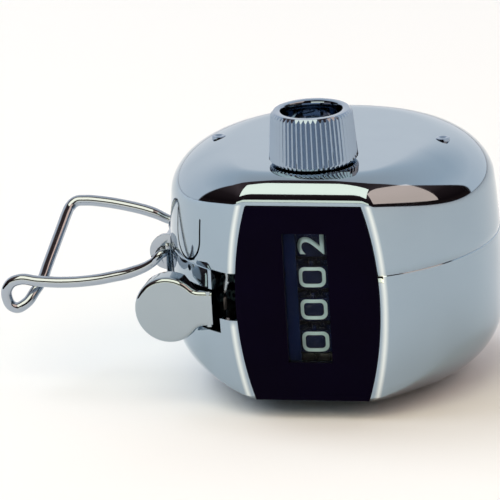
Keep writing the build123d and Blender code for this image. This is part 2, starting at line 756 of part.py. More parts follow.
# ---------------------------------------------------------------- finger ring and its bracket
def ring_bracket():
    """Saddle riveted to the case, with two ears turned out to carry the finger ring."""
    inner = case_radius + saddle_gap
    outer = inner + bracket_sheet
    reach = ear_spacing / 2 + ear_sheet / 2
    saddle = tube_between(0, 0, bracket_low, bracket_high, outer, inner)
    saddle &= block((-30, 0), (-reach, reach), (0, 40))
    bracket = saddle
    for side in (-1, 1):
        y = side * ear_spacing / 2
        root_x = -math.sqrt(inner ** 2 - (ear_spacing / 2 - ear_sheet / 2) ** 2)
        ear = Pos(root_x - 0.3, y, ring_pivot[1]) * (Rot(90, 0, 0) * Cylinder(ear_radius, ear_sheet))
        ear -= cylinder_between(0, 0, 0, 40, inner)
        bracket += ear
    for turn in bracket_rivet_turns:
        bracket -= radial_pin(turn, case_radius - 5, case_radius + 3, rivet_shank_radius)
    hinge_x, hinge_z = ring_pivot
    bore = ring_wire_radius + running_clearance
    bracket -= Pos(hinge_x, 0, hinge_z) * (Rot(90, 0, 0) * Cylinder(bore, 2 * ear_spacing))
    return bracket


def bracket_rivets():
    outside = case_radius + saddle_gap + bracket_sheet
    inside = case_radius - wall - running_clearance - neck_wall - 0.4
    rivets = []
    for turn in bracket_rivet_turns:
        shank = radial_pin(turn, inside, outside, rivet_shank_radius)
        rivets.append(shank + radial_pin(turn, outside, outside + 0.35, rivet_head_radius))
    return Compound(children=rivets)


def finger_ring():
    hinge_x, hinge_z = ring_pivot
    arm = ear_spacing / 2 + ear_sheet / 2 + side_clearance + ring_wire_radius + 0.15
    inside = ear_spacing / 2 - ear_sheet / 2 - 0.5
    route = [
        (hinge_x, -inside, hinge_z),
        (hinge_x, -arm, hinge_z),
        (hinge_x - 6.2, -arm, 16.9),
        (hinge_x - 14.9, -arm, 15.5),
        (hinge_x - 22.6, -arm, 15.9),
        (hinge_x - 23.8, -arm + 0.1, 13.0),
        (hinge_x - 22.1, -arm + 0.9, 10.6),
        (hinge_x - 15.7, arm, 23.7),
        (hinge_x - 10.5, arm, 23.8),
        (hinge_x - 3.9, arm, 21.3),
        (hinge_x, arm, hinge_z),
        (hinge_x, inside, hinge_z),
    ]
    bends = [0.8, 12.0, 14.0, 1.6, 1.6, 1.1, 1.5, 6.0, 4.0, 0.8]
    path = FilletPolyline(*route, radius=bends)
    section = Plane(origin=path @ 0, z_dir=path % 0) * Circle(ring_wire_radius)
    return sweep(section, path=path)


# ---------------------------------------------------------------- write the sub-parts
wheel_names = ["thousands", "hundreds", "tens", "units"]

save(upper_shell(), "upper_shell")
save(lower_shell(), "lower_shell")
save(window_panel(), "window_panel")
save(window_lens(), "window_lens")
save(window_mask(), "window_mask")
save(frame_plate(lower_plate_base), "frame_lower_plate")
save(frame_plate(upper_plate_base), "frame_upper_plate")
save(posts(foot_places, wall, lower_plate_base), "frame_feet")
save(frame_pillars(), "frame_pillars")
save(posts(deck_places, upper_plate_top, deck_inside), "deck_posts")
save(base_screws(), "base_screws")
save(case_rivets(), "case_rivets")
for index in range(wheel_count):
    save(number_wheel(index), f"number_wheel_{wheel_names[index]}")
for index in range(wheel_count - 1):
    save(carry_pinion(index), f"carry_pinion_{wheel_names[index]}")
save(ratchet_wheel(), "ratchet_wheel")
save(pinion_shaft(), "pinion_shaft")
save(pinion_spacers(), "pinion_spacers")
save(wheel_shaft(), "wheel_shaft")
save(shaft_clip(), "shaft_clip")
save(wheel_spacer(), "wheel_spacer")
save(knob_bush(), "knob_bush")
save(reset_knob(), "reset_knob")
save(knob_screw(), "knob_screw")
save(thumb_lever(), "thumb_lever")
save(lever_pivot_pin(), "lever_pivot_pin")
save(lever_return_spring(), "lever_return_spring")
save(spring_anchor(), "spring_anchor")
save(drive_pawl(), "drive_pawl")
save(drive_pawl_pin(), "drive_pawl_pin")
save(detent_post(), "detent_post")
save(detent_spring(), "detent_spring")
save(ring_bracket(), "ring_bracket")
save(bracket_rivets(), "bracket_rivets")
save(finger_ring(), "finger_ring")
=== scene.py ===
import math

import bpy
from bpy.props import FloatProperty, FloatVectorProperty, IntProperty, PointerProperty
from mathutils import Matrix, Vector


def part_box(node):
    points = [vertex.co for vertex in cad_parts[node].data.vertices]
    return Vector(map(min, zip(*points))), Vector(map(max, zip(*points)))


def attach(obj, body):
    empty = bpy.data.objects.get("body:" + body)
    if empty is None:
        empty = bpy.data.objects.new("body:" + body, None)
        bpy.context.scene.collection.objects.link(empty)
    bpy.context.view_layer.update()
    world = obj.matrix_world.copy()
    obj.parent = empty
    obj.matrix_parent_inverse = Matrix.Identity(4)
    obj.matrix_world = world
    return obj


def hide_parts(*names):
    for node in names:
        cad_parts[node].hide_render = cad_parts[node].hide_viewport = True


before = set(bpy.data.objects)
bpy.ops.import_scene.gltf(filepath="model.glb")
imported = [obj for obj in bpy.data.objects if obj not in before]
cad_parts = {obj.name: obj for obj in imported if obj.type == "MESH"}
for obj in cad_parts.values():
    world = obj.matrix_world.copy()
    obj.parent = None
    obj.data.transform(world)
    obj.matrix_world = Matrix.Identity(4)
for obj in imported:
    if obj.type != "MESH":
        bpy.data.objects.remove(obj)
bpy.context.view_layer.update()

bl_info = {
    "name": "Hand tally counter",
    "version": (1, 0, 0),
    "blender": (4, 5, 0),
    "location": "3D View > Sidebar > Tally",
    "description": "Builds the visible pieces and finishes of a chromed hand tally counter",
    "category": "Object",
}

MM = 0.001
DOUBLED = 0.002 * MM          # points closer than this are one point
METAL_RIPPLE = 0.004 * MM     # height of the fine ripple that pressing and turning leave in metal

# ------------------------------------------------------------------ places read from the frame
UPPER_LOW, UPPER_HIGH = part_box("upper_shell")
LOWER_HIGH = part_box("lower_shell")[1]
PANEL_LOW, PANEL_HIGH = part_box("window_panel")
LENS_LOW, LENS_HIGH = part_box("window_lens")
KNOB_LOW, KNOB_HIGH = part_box("reset_knob")
BUSH_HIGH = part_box("knob_bush")[1]
SCREW_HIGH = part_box("knob_screw")[1]
LEVER_LOW, LEVER_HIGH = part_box("thumb_lever")
BRACKET_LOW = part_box("ring_bracket")[0]
PIN_LOW, PIN_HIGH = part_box("lever_pivot_pin")

CASE_RADIUS = LOWER_HIGH.x
DECK_HEIGHT = UPPER_HIGH.z
SEAM_HEIGHT = UPPER_LOW.z
FLAT_DISTANCE = -UPPER_LOW.y
FRONT_TUCK = 1.7        # how early the front's undercut turns inwards; 1 is an ellipse
BELLY_HEIGHT = 17.5 * MM
BASE_SHRINK = 1.25 * MM
DECK_SHRINK = 1.35 * MM
AXIS = Vector((0.0, (KNOB_LOW.y + KNOB_HIGH.y) / 2, 0.0))
PIVOT = Vector(((PIN_LOW.x + PIN_HIGH.x) / 2, (PIN_LOW.y + PIN_HIGH.y) / 2, 0.0))
WHEEL_NAMES = ("thousands", "hundreds", "tens", "units")
TONGUE_DIRECTION = math.radians(218.5)
RIVET_TURNS = (math.radians(171.8), math.radians(188.2))
RIVET_HEIGHT = 18.3 * MM


# ------------------------------------------------------------------ settings
def linear(text):
    """An sRGB hex colour as linear red, green, blue and alpha."""
    parts = [int(text[index:index + 2], 16) / 255 for index in (1, 3, 5)]
    return tuple(part / 12.92 if part <= 0.04045 else ((part + 0.055) / 1.055) ** 2.4
                 for part in parts) + (1.0,)


def length(name, description, default):
    return FloatProperty(name=name, description=description, default=default, min=0.0,
                         subtype="DISTANCE", unit="LENGTH", precision=5)


def colour(name, description, default):
    return FloatVectorProperty(name=name, description=description, default=linear(default),
                               size=4, min=0.0, max=1.0, subtype="COLOR")


class CaseSettings(bpy.types.PropertyGroup):
    wall: length("Wall", "Thickness of the drawn sheet", 0.8 * MM)
    panel_margin: length("Panel margin", "Bare metal beside the panel at its middle", 1.1 * MM)
    front_round: length("Front deck edge", "Rounding where the flat front meets the deck", 3.9 * MM)
    side_round: length("Side deck edge", "Width of the rounding round the deck", 8.0 * MM)
    side_rise: length("Side deck rise", "Height of the rounding round the deck", 6.5 * MM)
    front_foot: length("Front base edge", "Width of the undercut below the flat front", 12.0 * MM)
    front_lift: length("Front base rise", "Height of the undercut below the flat front", 3.2 * MM)
    side_foot: length("Side base edge", "Width of the rounding round the base", 11.4 * MM)
    side_lift: length("Side base rise", "Height of the rounding round the base", 9.3 * MM)
    chrome: colour("Chrome", "Bright plating on the shells", "#9CACB9")
    panel: colour("Panel", "Black moulded panel", "#05020F")
    pane: colour("Pane", "Clear window pane", "#DDE8EE")
    mask: colour("Mask", "Navy mask behind the pane", "#01081C")


class KnobSettings(bpy.types.PropertyGroup):
    ridges: IntProperty(name="Ridges", description="Straight grip ridges round the knob", default=52)
    ridge_depth: length("Ridge depth", "Depth of the grip grooves", 0.42 * MM)
    bore: length("Bore", "Radius of the hollow in the knob's top", 4.35 * MM)
    floor: length("Floor", "Height of the hollow's floor above the knob's base", 3.0 * MM)
    chrome: colour("Knob plating", "Bright plating on the knob", "#93A2B4")


class LeverSettings(bpy.types.PropertyGroup):
    pad_radius: length("Pad radius", "Radius of the round thumb pad", 4.8 * MM)
    pad_height: length("Pad height", "Height of the pad's middle", 15.0 * MM)
    neck_half: length("Neck half height", "Half of the neck's height", 2.6 * MM)
    skirt: length("Skirt", "Depth of the turned edge", 3.2 * MM)
    sheet: length("Sheet", "Thickness of the lever's steel", 0.8 * MM)
    arm_run: length("Arm run", "Straight run of the arm behind the neck", 7.0 * MM)
    chrome: colour("Lever plating", "Bright plating on the lever", "#A4AFB6")


class RingSettings(bpy.types.PropertyGroup):
    wire: length("Wire radius", "Radius of the finger ring's wire", 0.8 * MM)
    wire_end: length("Wire end radius", "Radius where the wire turns in the ears", 0.65 * MM)
    ear_radius: length("Ear radius", "Radius of the bracket's two ears", 2.6 * MM)
    chrome: colour("Ring plating", "Bright plating on the wire and bracket", "#A9B1BB")


class WheelSettings(bpy.types.PropertyGroup):
    shown: IntProperty(name="Shown", description="Number shown in the window", default=2, min=0, max=9999)
    digit_height: length("Digit height", "Height of a digit, along the rim", 3.84 * MM)
    digit_width: length("Digit width", "Width of a digit, across the rim", 2.94 * MM)
    stroke: length("Stroke", "Width of a digit's line", 0.5 * MM)
    body: colour("Wheel", "Dark blue moulded wheels", "#01081C")
    paint: colour("Digit paint", "Pale digits on the rims", "#B9D6D8")


class StudioSettings(bpy.types.PropertyGroup):
    azimuth: FloatProperty(name="Azimuth", description="Camera's turn about the object",
                           default=math.radians(13.15), subtype="ANGLE", unit="ROTATION")
    elevation: FloatProperty(name="Elevation", description="Camera's height above the horizon",
                             default=math.radians(17.67), subtype="ANGLE", unit="ROTATION")
    roll: FloatProperty(name="Roll", description="Camera's tilt about its own axis",
                        default=math.radians(3.35), subtype="ANGLE", unit="ROTATION")
    distance: length("Distance", "Camera to the point it looks at", 958.3 * MM)
    lens: FloatProperty(name="Lens", description="Focal length on a 36 mm sensor", default=482.0,
                        subtype="DISTANCE_CAMERA")
    floor: colour("Floor", "Pale plain floor", "#F2F4F5")


# ------------------------------------------------------------------ modelling helpers
def clear_selection():
    """Leave edit mode and deselect every object."""
    if bpy.context.mode != "OBJECT":
        bpy.ops.object.mode_set(mode="OBJECT")
    bpy.ops.object.select_all(action="DESELECT")


def pick(*pieces):
    """Select these pieces only; the last one is the active one."""
    clear_selection()
    for piece in pieces:
        piece.select_set(True)
    bpy.context.view_layer.objects.active = pieces[-1]


def settle(piece):
    """Put the piece's place into its mesh, so that the object sits at the origin."""
    pick(piece)
    bpy.ops.object.transform_apply(location=True, rotation=True, scale=True)


def named(name):
    piece = bpy.context.object
    piece.name = name
    piece.data.name = name
    return piece


def from_points(name, points, edges=(), faces=()):
    """A new piece from its points and the edges or faces between them."""
    mesh = bpy.data.meshes.new(name)
    mesh.from_pydata(points, edges, faces)
    piece = bpy.data.objects.new(name, mesh)
    bpy.context.collection.objects.link(piece)
    return piece


def chain(points):
    """The edges that join each point to the next."""
    return [(index, index + 1) for index in range(len(points) - 1)]


def edit(piece, action):
    """Run edit-mode operators on the whole piece."""
    pick(piece)
    bpy.ops.object.mode_set(mode="EDIT")
    bpy.ops.mesh.select_all(action="SELECT")
    action()
    bpy.ops.object.mode_set(mode="OBJECT")


def close_up(piece, gap=DOUBLED):
    """Merge doubled points and turn the faces outwards."""
    def work():
        bpy.ops.mesh.remove_doubles(threshold=gap)
        bpy.ops.mesh.normals_make_consistent(inside=False)
    edit(piece, work)


def drawn_sheet(name, across, along, place):
    """A flat sheet drawn into shape: place(u, v) gives each of its points, u and v from 0 to 1."""
    clear_selection()
    bpy.ops.mesh.primitive_grid_add(x_subdivisions=across, y_subdivisions=along, size=1.0)
    piece = named(name)
    for vertex in piece.data.vertices:
        vertex.co = place(round(vertex.co.x + 0.5, 6), round(vertex.co.y + 0.5, 6))
    close_up(piece)
    return piece


def apply_modifier(piece, kind, **values):
    pick(piece)
    modifier = piece.modifiers.new(kind.title(), kind)
    for key, value in values.items():
        setattr(modifier, key, value)
    bpy.ops.object.modifier_apply(modifier=modifier.name)


def thicken(piece, thickness, even=True):
    """Give a sheet its thickness on the side away from its normals."""
    apply_modifier(piece, "SOLIDIFY", thickness=thickness, offset=-1.0, use_even_offset=even)


def bevel_edges(piece, width, segments=3, angle=math.radians(40)):
    apply_modifier(piece, "BEVEL", width=width, segments=segments, limit_method="ANGLE",
                   angle_limit=angle, harden_normals=False, use_clamp_overlap=True)


def cut(piece, cutter):
    """Take the cutter's volume out of the piece and remove the cutter."""
    apply_modifier(piece, "BOOLEAN", operation="DIFFERENCE", object=cutter, solver="EXACT")
    bpy.data.objects.remove(cutter, do_unlink=True)


def join(*pieces):
    pick(*reversed(pieces))
    bpy.ops.object.join()
    return pieces[0]


def smooth(piece, angle=math.radians(32)):
    pick(piece)
    bpy.ops.object.shade_smooth_by_angle(angle=angle)


def box_piece(name, low, high):
    """A square block between two corners."""
    clear_selection()
    bpy.ops.mesh.primitive_cube_add(size=1.0, location=(Vector(low) + Vector(high)) / 2)
    piece = named(name)
    piece.scale = Vector(high) - Vector(low)
    settle(piece)
    return piece


def rod(name, start, end, radius, sides=48):
    """A round bar between two points."""
    start, end = Vector(start), Vector(end)
    along = end - start
    clear_selection()
    bpy.ops.mesh.primitive_cylinder_add(vertices=sides, radius=radius, depth=along.length,
                                        location=(start + end) / 2,
                                        rotation=along.to_track_quat("Z", "Y").to_euler())
    piece = named(name)
    settle(piece)
    return piece


def prism(name, corners, low, high):
    """A plate with this outline in X and Y, between two heights."""
    piece = from_points(name, [(x, y, low) for x, y in corners], faces=[list(range(len(corners)))])

    def work():
        bpy.ops.mesh.extrude_region_move(TRANSFORM_OT_translate={"value": (0, 0, high - low)})
        bpy.ops.mesh.select_all(action="SELECT")
        bpy.ops.mesh.normals_make_consistent(inside=False)
    edit(piece, work)
    return piece


def turned(name, profile, centre, sides=96, lay=None):
    """A lathe-turned piece: the profile's radii and heights spun about the upright through centre."""
    points = [(centre[0] + radius, centre[1], centre[2] + height) for radius, height in profile]
    piece = from_points(name, points, chain(points))

    def work():
        bpy.ops.mesh.spin(steps=sides, angle=math.tau, center=centre, axis=(0, 0, 1), use_auto_merge=True)
        bpy.ops.mesh.select_all(action="SELECT")
        bpy.ops.mesh.remove_doubles(threshold=DOUBLED)
        bpy.ops.mesh.normals_make_consistent(inside=False)
    edit(piece, work)
    if lay:
        piece.data.transform(lay)
    return piece


def arc(centre, radius, first, last, steps):
    """Points along an arc in a plane, from one angle to another."""
    turns = [first + (last - first) * step / steps for step in range(steps + 1)]
    return [(centre[0] + radius * math.cos(turn), centre[1] + radius * math.sin(turn)) for turn in turns]


def spoke(turn):
    """The level direction at an angle about the upright."""
    return Vector((math.cos(turn), math.sin(turn), 0))


def ease(value):
    value = min(max(value, 0.0), 1.0)
    return value * value * (3 - 2 * value)


# ------------------------------------------------------------------ materials
def node(material, kind, links=None, **settings):
    """Add a node, set its properties and sockets, and link its inputs from other nodes' outputs."""
    tree = material.node_tree
    added = tree.nodes.new(kind)
    for key, value in settings.items():
        if hasattr(added, key):
            setattr(added, key, value)
        else:
            added.inputs[key.replace("_", " ")].default_value = value
    for key, output in (links or {}).items():
        tree.links.new(output, added.inputs[key])
    return added


def blank_material(name):
    material = bpy.data.materials.new(name)
    material.use_nodes = True
    material.node_tree.nodes.clear()
    return material


def finish_surface(material, links, **settings):
    """The shader and its output, with fixed values set on the shader's own sockets."""
    shader = node(material, "ShaderNodeBsdfPrincipled", links=links)
    for key, value in settings.items():
        shader.inputs[key.replace("_", " ")].default_value = value
    node(material, "ShaderNodeOutputMaterial", links={"Surface": shader.outputs[0]})
    return material


def plated(name, base, roughness, grain, painted_highlight="#F4FAF6"):
    """Bright chromium over nickel on pressed steel: mirror-like, with handling haze and faint
    waviness from the press, and a painted highlight: paler colour where the edge attribute marks a corner
    line."""
    material = blank_material(name)
    place = node(material, "ShaderNodeTexCoord").outputs["Object"]
    haze = node(material, "ShaderNodeTexNoise", {"Vector": place}, Scale=1 / (7 * MM), Detail=4.0)
    specks = node(material, "ShaderNodeTexNoise", {"Vector": place}, Scale=1 / (0.45 * MM), Detail=2.0)
    shine = node(material, "ShaderNodeMapRange", {"Value": haze.outputs[0]}, From_Min=0.35, From_Max=0.75,
                 To_Min=roughness, To_Max=roughness + 0.05)
    # painted highlight: the edge attribute mixes in a paler colour that stands for bright lines along the
    # corners
    highlight_mask = node(material, "ShaderNodeAttribute", attribute_name="edge")
    tone = node(material, "ShaderNodeMix", {"Factor": highlight_mask.outputs["Fac"]}, data_type="RGBA")
    tone.inputs["A"].default_value = base
    tone.inputs["B"].default_value = linear(painted_highlight)
    cloud = node(material, "ShaderNodeMix", {"Factor": haze.outputs[0], "A": tone.outputs["Result"]},
                 data_type="RGBA", blend_type="MULTIPLY")
    cloud.inputs["B"].default_value = linear("#F4F6F8")
    relief = node(material, "ShaderNodeBump", {"Height": specks.outputs[0]}, Strength=grain,
                  Distance=METAL_RIPPLE)
    return finish_surface(material, {"Base Color": cloud.outputs["Result"], "Roughness": shine.outputs[0],
                                     "Normal": relief.outputs[0]}, Metallic=1.0)


def moulded(name, base, roughness, speck, gloss=0.15):
    """Moulded plastic: even colour with faint flow clouding and a fine die texture."""
    material = blank_material(name)
    place = node(material, "ShaderNodeTexCoord").outputs["Object"]
    flow = node(material, "ShaderNodeTexNoise", {"Vector": place}, Scale=1 / (6 * MM), Detail=3.0)
    grain = node(material, "ShaderNodeTexNoise", {"Vector": place}, Scale=1 / (0.25 * MM), Detail=2.0)
    tone = node(material, "ShaderNodeMix", {"Factor": flow.outputs[0]}, data_type="RGBA")
    tone.inputs["A"].default_value = base
    tone.inputs["B"].default_value = speck
    shine = node(material, "ShaderNodeMapRange", {"Value": flow.outputs[0]}, To_Min=roughness,
                 To_Max=roughness + 0.1)
    relief = node(material, "ShaderNodeBump", {"Height": grain.outputs[0]}, Strength=0.2, Distance=0.003 * MM)
    return finish_surface(material, {"Base Color": tone.outputs["Result"], "Roughness": shine.outputs[0],
                                     "Normal": relief.outputs[0]}, IOR=1.49, Specular_IOR_Level=gloss)


def machined(name, base, roughness, pitch=0.12):
    """Turned or stamped metal, with fine tool rings round the wheels' axis."""
    material = blank_material(name)
    place = node(material, "ShaderNodeTexCoord").outputs["Object"]
    centred = node(material, "ShaderNodeMapping", {"Vector": place})
    centred.inputs["Location"].default_value = -AXIS
    rings = node(material, "ShaderNodeTexWave", {"Vector": centred.outputs[0]}, wave_type="RINGS",
                 rings_direction="Z", Scale=0.1 / (pitch * MM), Distortion=1.5, Detail=2.0)
    shade = node(material, "ShaderNodeMapRange", {"Value": rings.outputs["Fac"]}, To_Min=roughness - 0.06,
                 To_Max=roughness + 0.08)
    stain = node(material, "ShaderNodeTexNoise", {"Vector": place}, Scale=1 / (3 * MM), Detail=3.0)
    tone = node(material, "ShaderNodeMix", {"Factor": stain.outputs[0]}, data_type="RGBA")
    tone.inputs["A"].default_value = base
    tone.inputs["B"].default_value = tuple(part * 0.72 for part in base[:3]) + (1.0,)
    relief = node(material, "ShaderNodeBump", {"Height": rings.outputs["Fac"]}, Strength=0.25,
                  Distance=METAL_RIPPLE)
    return finish_surface(material, {"Base Color": tone.outputs["Result"], "Roughness": shade.outputs[0],
                                     "Normal": relief.outputs[0]}, Metallic=1.0)


def clear_pane(name, tint):
    """Clear polystyrene pane: nearly invisible, with faint scuffs that catch the light."""
    material = blank_material(name)
    place = node(material, "ShaderNodeTexCoord").outputs["Object"]
    scuffs = node(material, "ShaderNodeTexNoise", {"Vector": place}, Scale=1 / (0.7 * MM), Detail=5.0)
    veil = node(material, "ShaderNodeMapRange", {"Value": scuffs.outputs[0]}, From_Min=0.66, From_Max=0.72,
                To_Min=0.004, To_Max=0.03)
    shine = node(material, "ShaderNodeMapRange", {"Value": scuffs.outputs[0]}, To_Min=0.04, To_Max=0.16)
    return finish_surface(material, {"Alpha": veil.outputs[0], "Roughness": shine.outputs[0]},
                          Base_Color=tint, IOR=1.59, Specular_IOR_Level=0.2)


def coat(piece, material, slot_name, body, *stood_for):
    """Give a new piece its finish, its moving body and the frame nodes it stands for."""
    piece.data.materials.clear()
    piece.data.materials.append(material)
    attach(piece, body)
    if stood_for:
        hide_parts(*stood_for)


# ------------------------------------------------------------------ case shells
SHELL_FRONT_STEPS = 20
SHELL_CORNER_STEPS = 14
SHELL_ARC_STEPS = 110
CORNER_BLEND = 0.26 * MM
DECK_BLEND = 2.4 * MM
CORNER_SPREAD = math.radians(2.0)
AROUND = 2 * (SHELL_FRONT_STEPS + SHELL_CORNER_STEPS + SHELL_ARC_STEPS)
FLAT_REACH = math.radians(80)       # the flat front shapes the case up to this turn from its middle
ROUNDING_REACH = math.radians(48)   # turn over which the front's rounding grows into the side's
LOW_CORNER = 4 * MM                 # heights at which the base's and the deck's corners are taken
HIGH_CORNER = DECK_HEIGHT - 5 * MM


def barrel_radius(height):
    """Radius of the bulging side at a height."""
    if height > BELLY_HEIGHT:
        return CASE_RADIUS - DECK_SHRINK * ((height - BELLY_HEIGHT) / (DECK_HEIGHT - BELLY_HEIGHT)) ** 2
    return CASE_RADIUS - BASE_SHRINK * ((BELLY_HEIGHT - height) / BELLY_HEIGHT) ** 2


def corner_turn(height):
    """Angle between the middle of the flat front and its side corner, seen from the axis."""
    return math.acos(FLAT_DISTANCE / barrel_radius(height))


def soft_lesser(first, second, blend):
    """The lesser of two lengths, rounded off where they meet."""
    share = min(max(0.5 + 0.5 * (second - first) / blend, 0.0), 1.0)
    return second * (1 - share) + first * share - blend * share * (1 - share)


def turn_at(across, corner):
    """Angle from the middle of the front at a share of half the way round, close-set at the corner."""
    steps = across * AROUND / 2
    if steps < SHELL_FRONT_STEPS:
        return (corner - CORNER_SPREAD) * steps / SHELL_FRONT_STEPS
    steps -= SHELL_FRONT_STEPS
    if steps < SHELL_CORNER_STEPS:
        return corner + CORNER_SPREAD * (2 * steps / SHELL_CORNER_STEPS - 1)
    steps -= SHELL_CORNER_STEPS
    start = corner + CORNER_SPREAD
    return start + (math.pi - start) * steps / SHELL_ARC_STEPS


def rounding(turn, corner, front, side):
    """A rounding's size at an angle: the front's size, growing to the side's size."""
    return front + (side - front) * ease((turn - corner * 0.8) / ROUNDING_REACH)


def drum_point(across, curve, climb, low_edge):
    """A point of the case: across runs round it, curve 0 to 1 goes over the deck's or base's rounding,
    and climb 0 to 1 runs from the seam to the start of that rounding."""
    settings = bpy.context.scene.tally_case
    half = abs(2 * across - 1)
    corner = corner_turn(LOW_CORNER if low_edge else HIGH_CORNER)
    turn = turn_at(half, corner)
    if low_edge:
        reach = rounding(turn, corner, settings.front_foot, settings.side_foot)
        rise = rounding(turn, corner, settings.front_lift, settings.side_lift)
        sweep = math.sin(curve * math.pi / 2) ** rounding(turn, corner, FRONT_TUCK, 1.0)
        height = SEAM_HEIGHT + (rise - SEAM_HEIGHT) * climb - rise * sweep
    else:
        reach = rounding(turn, corner, settings.front_round, settings.side_round)
        rise = rounding(turn, corner, settings.front_round, settings.side_rise)
        height = SEAM_HEIGHT + (DECK_HEIGHT - rise - SEAM_HEIGHT) * climb
        height += rise * math.sin(curve * math.pi / 2)
    inset = 1 - math.cos(curve * math.pi / 2)
    front_reach = settings.front_foot if low_edge else settings.front_round
    local_corner = corner_turn(height)
    turn = turn_at(half, local_corner + (corner - local_corner) * inset)
    radius = barrel_radius(height) - reach * inset
    blend = CORNER_BLEND + (DECK_BLEND - CORNER_BLEND) * inset
    if turn < FLAT_REACH:
        flat = (FLAT_DISTANCE - front_reach * inset) / math.cos(turn)
        radius = soft_lesser(radius, flat, blend)
    side = 1 if across > 0.5 else -1
    return Vector((side * radius * math.sin(turn), -radius * math.cos(turn), height))


WALL_ROWS = 16
ROUND_ROWS = 22
DECK_ROWS = 10
SEAM_ROLL = 0.07 * MM
SCREW_HEAD = 1.62 * MM
SCREW_HOLE = 0.82 * MM
RELEASE_TURN = 0.026        # how far past the tongue's middle the release hole sits
RELEASE_DROP = 0.9 * MM
RELEASE_RADIUS = 0.45 * MM
BUSH_HOLE = 2.55 * MM
PANEL_PINCH = 0.25 * MM     # how much more the panel draws in at its top and bottom
HIGHLIGHT_STRENGTH = 0.85               # strength of the painted highlight along the flat front's two corners
HIGHLIGHT_WIDTH = 0.5 * MM
HIGHLIGHT_INSET = 0.3 * MM     # the painted highlight line lies this far inside the corner
TRACK = (214.5, 236.4, 12.2 * MM, 18.4 * MM)     # the lever's openings: two directions in degrees
GATE = (233.2, 243.95, 14.4 * MM, 21.6 * MM)     # and two heights


def shell_sheet(name, low_edge):
    """Half of the case as one drawn cup, from its seam over the rounding to the middle of its end."""
    rows = WALL_ROWS + ROUND_ROWS + DECK_ROWS

    def place(u, v):
        row = round(v * rows)
        if row <= WALL_ROWS:
            point = drum_point(u, 0.0, row / WALL_ROWS, low_edge)
            if row == 0:
                inward = 1 - SEAM_ROLL / point.xy.length
                point = Vector((point.x * inward, point.y * inward, point.z))
            elif row == 1:
                point.z = SEAM_HEIGHT + (-1.5 if low_edge else 1.5) * SEAM_ROLL
            return point
        if row <= WALL_ROWS + ROUND_ROWS:
            return drum_point(u, (row - WALL_ROWS) / ROUND_ROWS, 1.0, low_edge)
        edge = drum_point(u, 1.0, 1.0, low_edge)
        share = 1 - (row - WALL_ROWS - ROUND_ROWS) / DECK_ROWS
        return Vector((edge.x * share, edge.y * share, edge.z))

    sheet = drawn_sheet(name, AROUND, rows, place)
    # painted highlight: a line inside each corner of the flat front, beside the panel, marked for a paler
    # colour
    highlight_marks = sheet.data.attributes.new("edge", "FLOAT", "POINT")
    for vertex, mark in zip(sheet.data.vertices, highlight_marks.data):
        turn = math.atan2(abs(vertex.co.x), -vertex.co.y)
        off = abs((turn - corner_turn(vertex.co.z)) * CASE_RADIUS + HIGHLIGHT_INSET)
        upright = PANEL_LOW.z - MM < vertex.co.z < PANEL_HIGH.z
        mark.value = HIGHLIGHT_STRENGTH * max(0.0, 1 - off / HIGHLIGHT_WIDTH) if upright else 0.0
    return sheet


def window_cutter(grow=0.0):
    return box_piece("window_cutter", (LENS_LOW.x - grow, -CASE_RADIUS, LENS_LOW.z - grow),
                     (LENS_HIGH.x + grow, LENS_HIGH.y + 1.5 * MM, LENS_HIGH.z + grow))


def sector(name, first, last, low, high):
    """A wedge from the axis outwards, between two directions."""
    reach = CASE_RADIUS * 1.4
    corners = [(0.0, 0.0)] + arc((0.0, 0.0), reach, math.radians(first), math.radians(last), 2)
    return prism(name, corners, low, high)


def lever_slot():
    """The lever's opening: a long track for its neck and a taller gate beside the panel."""
    return sector("lever_track", *TRACK), sector("lever_gate", *GATE)


def tongue_slit():
    """U-shaped slit round the locking tongue."""
    half = 3.5 * MM
    middle = SEAM_HEIGHT + 0.25 * MM + half
    top = SEAM_HEIGHT + 6.8 * MM
    route = [(half, top)] + arc((0.0, middle), half, 0.0, -math.pi, 24) + [(-half, top)]
    cutter = from_points("tongue_slit", [(CASE_RADIUS - 4 * MM, y, z) for y, z in route], chain(route))
    edit(cutter, lambda: bpy.ops.mesh.extrude_region_move(TRANSFORM_OT_translate={"value": (8 * MM, 0, 0)}))
    apply_modifier(cutter, "SOLIDIFY", thickness=0.35 * MM, offset=0.0, use_even_offset=True)
    cutter.data.transform(Matrix.Rotation(TONGUE_DIRECTION, 4, "Z"))
    edit(cutter, lambda: bpy.ops.mesh.normals_make_consistent(inside=False))
    return cutter


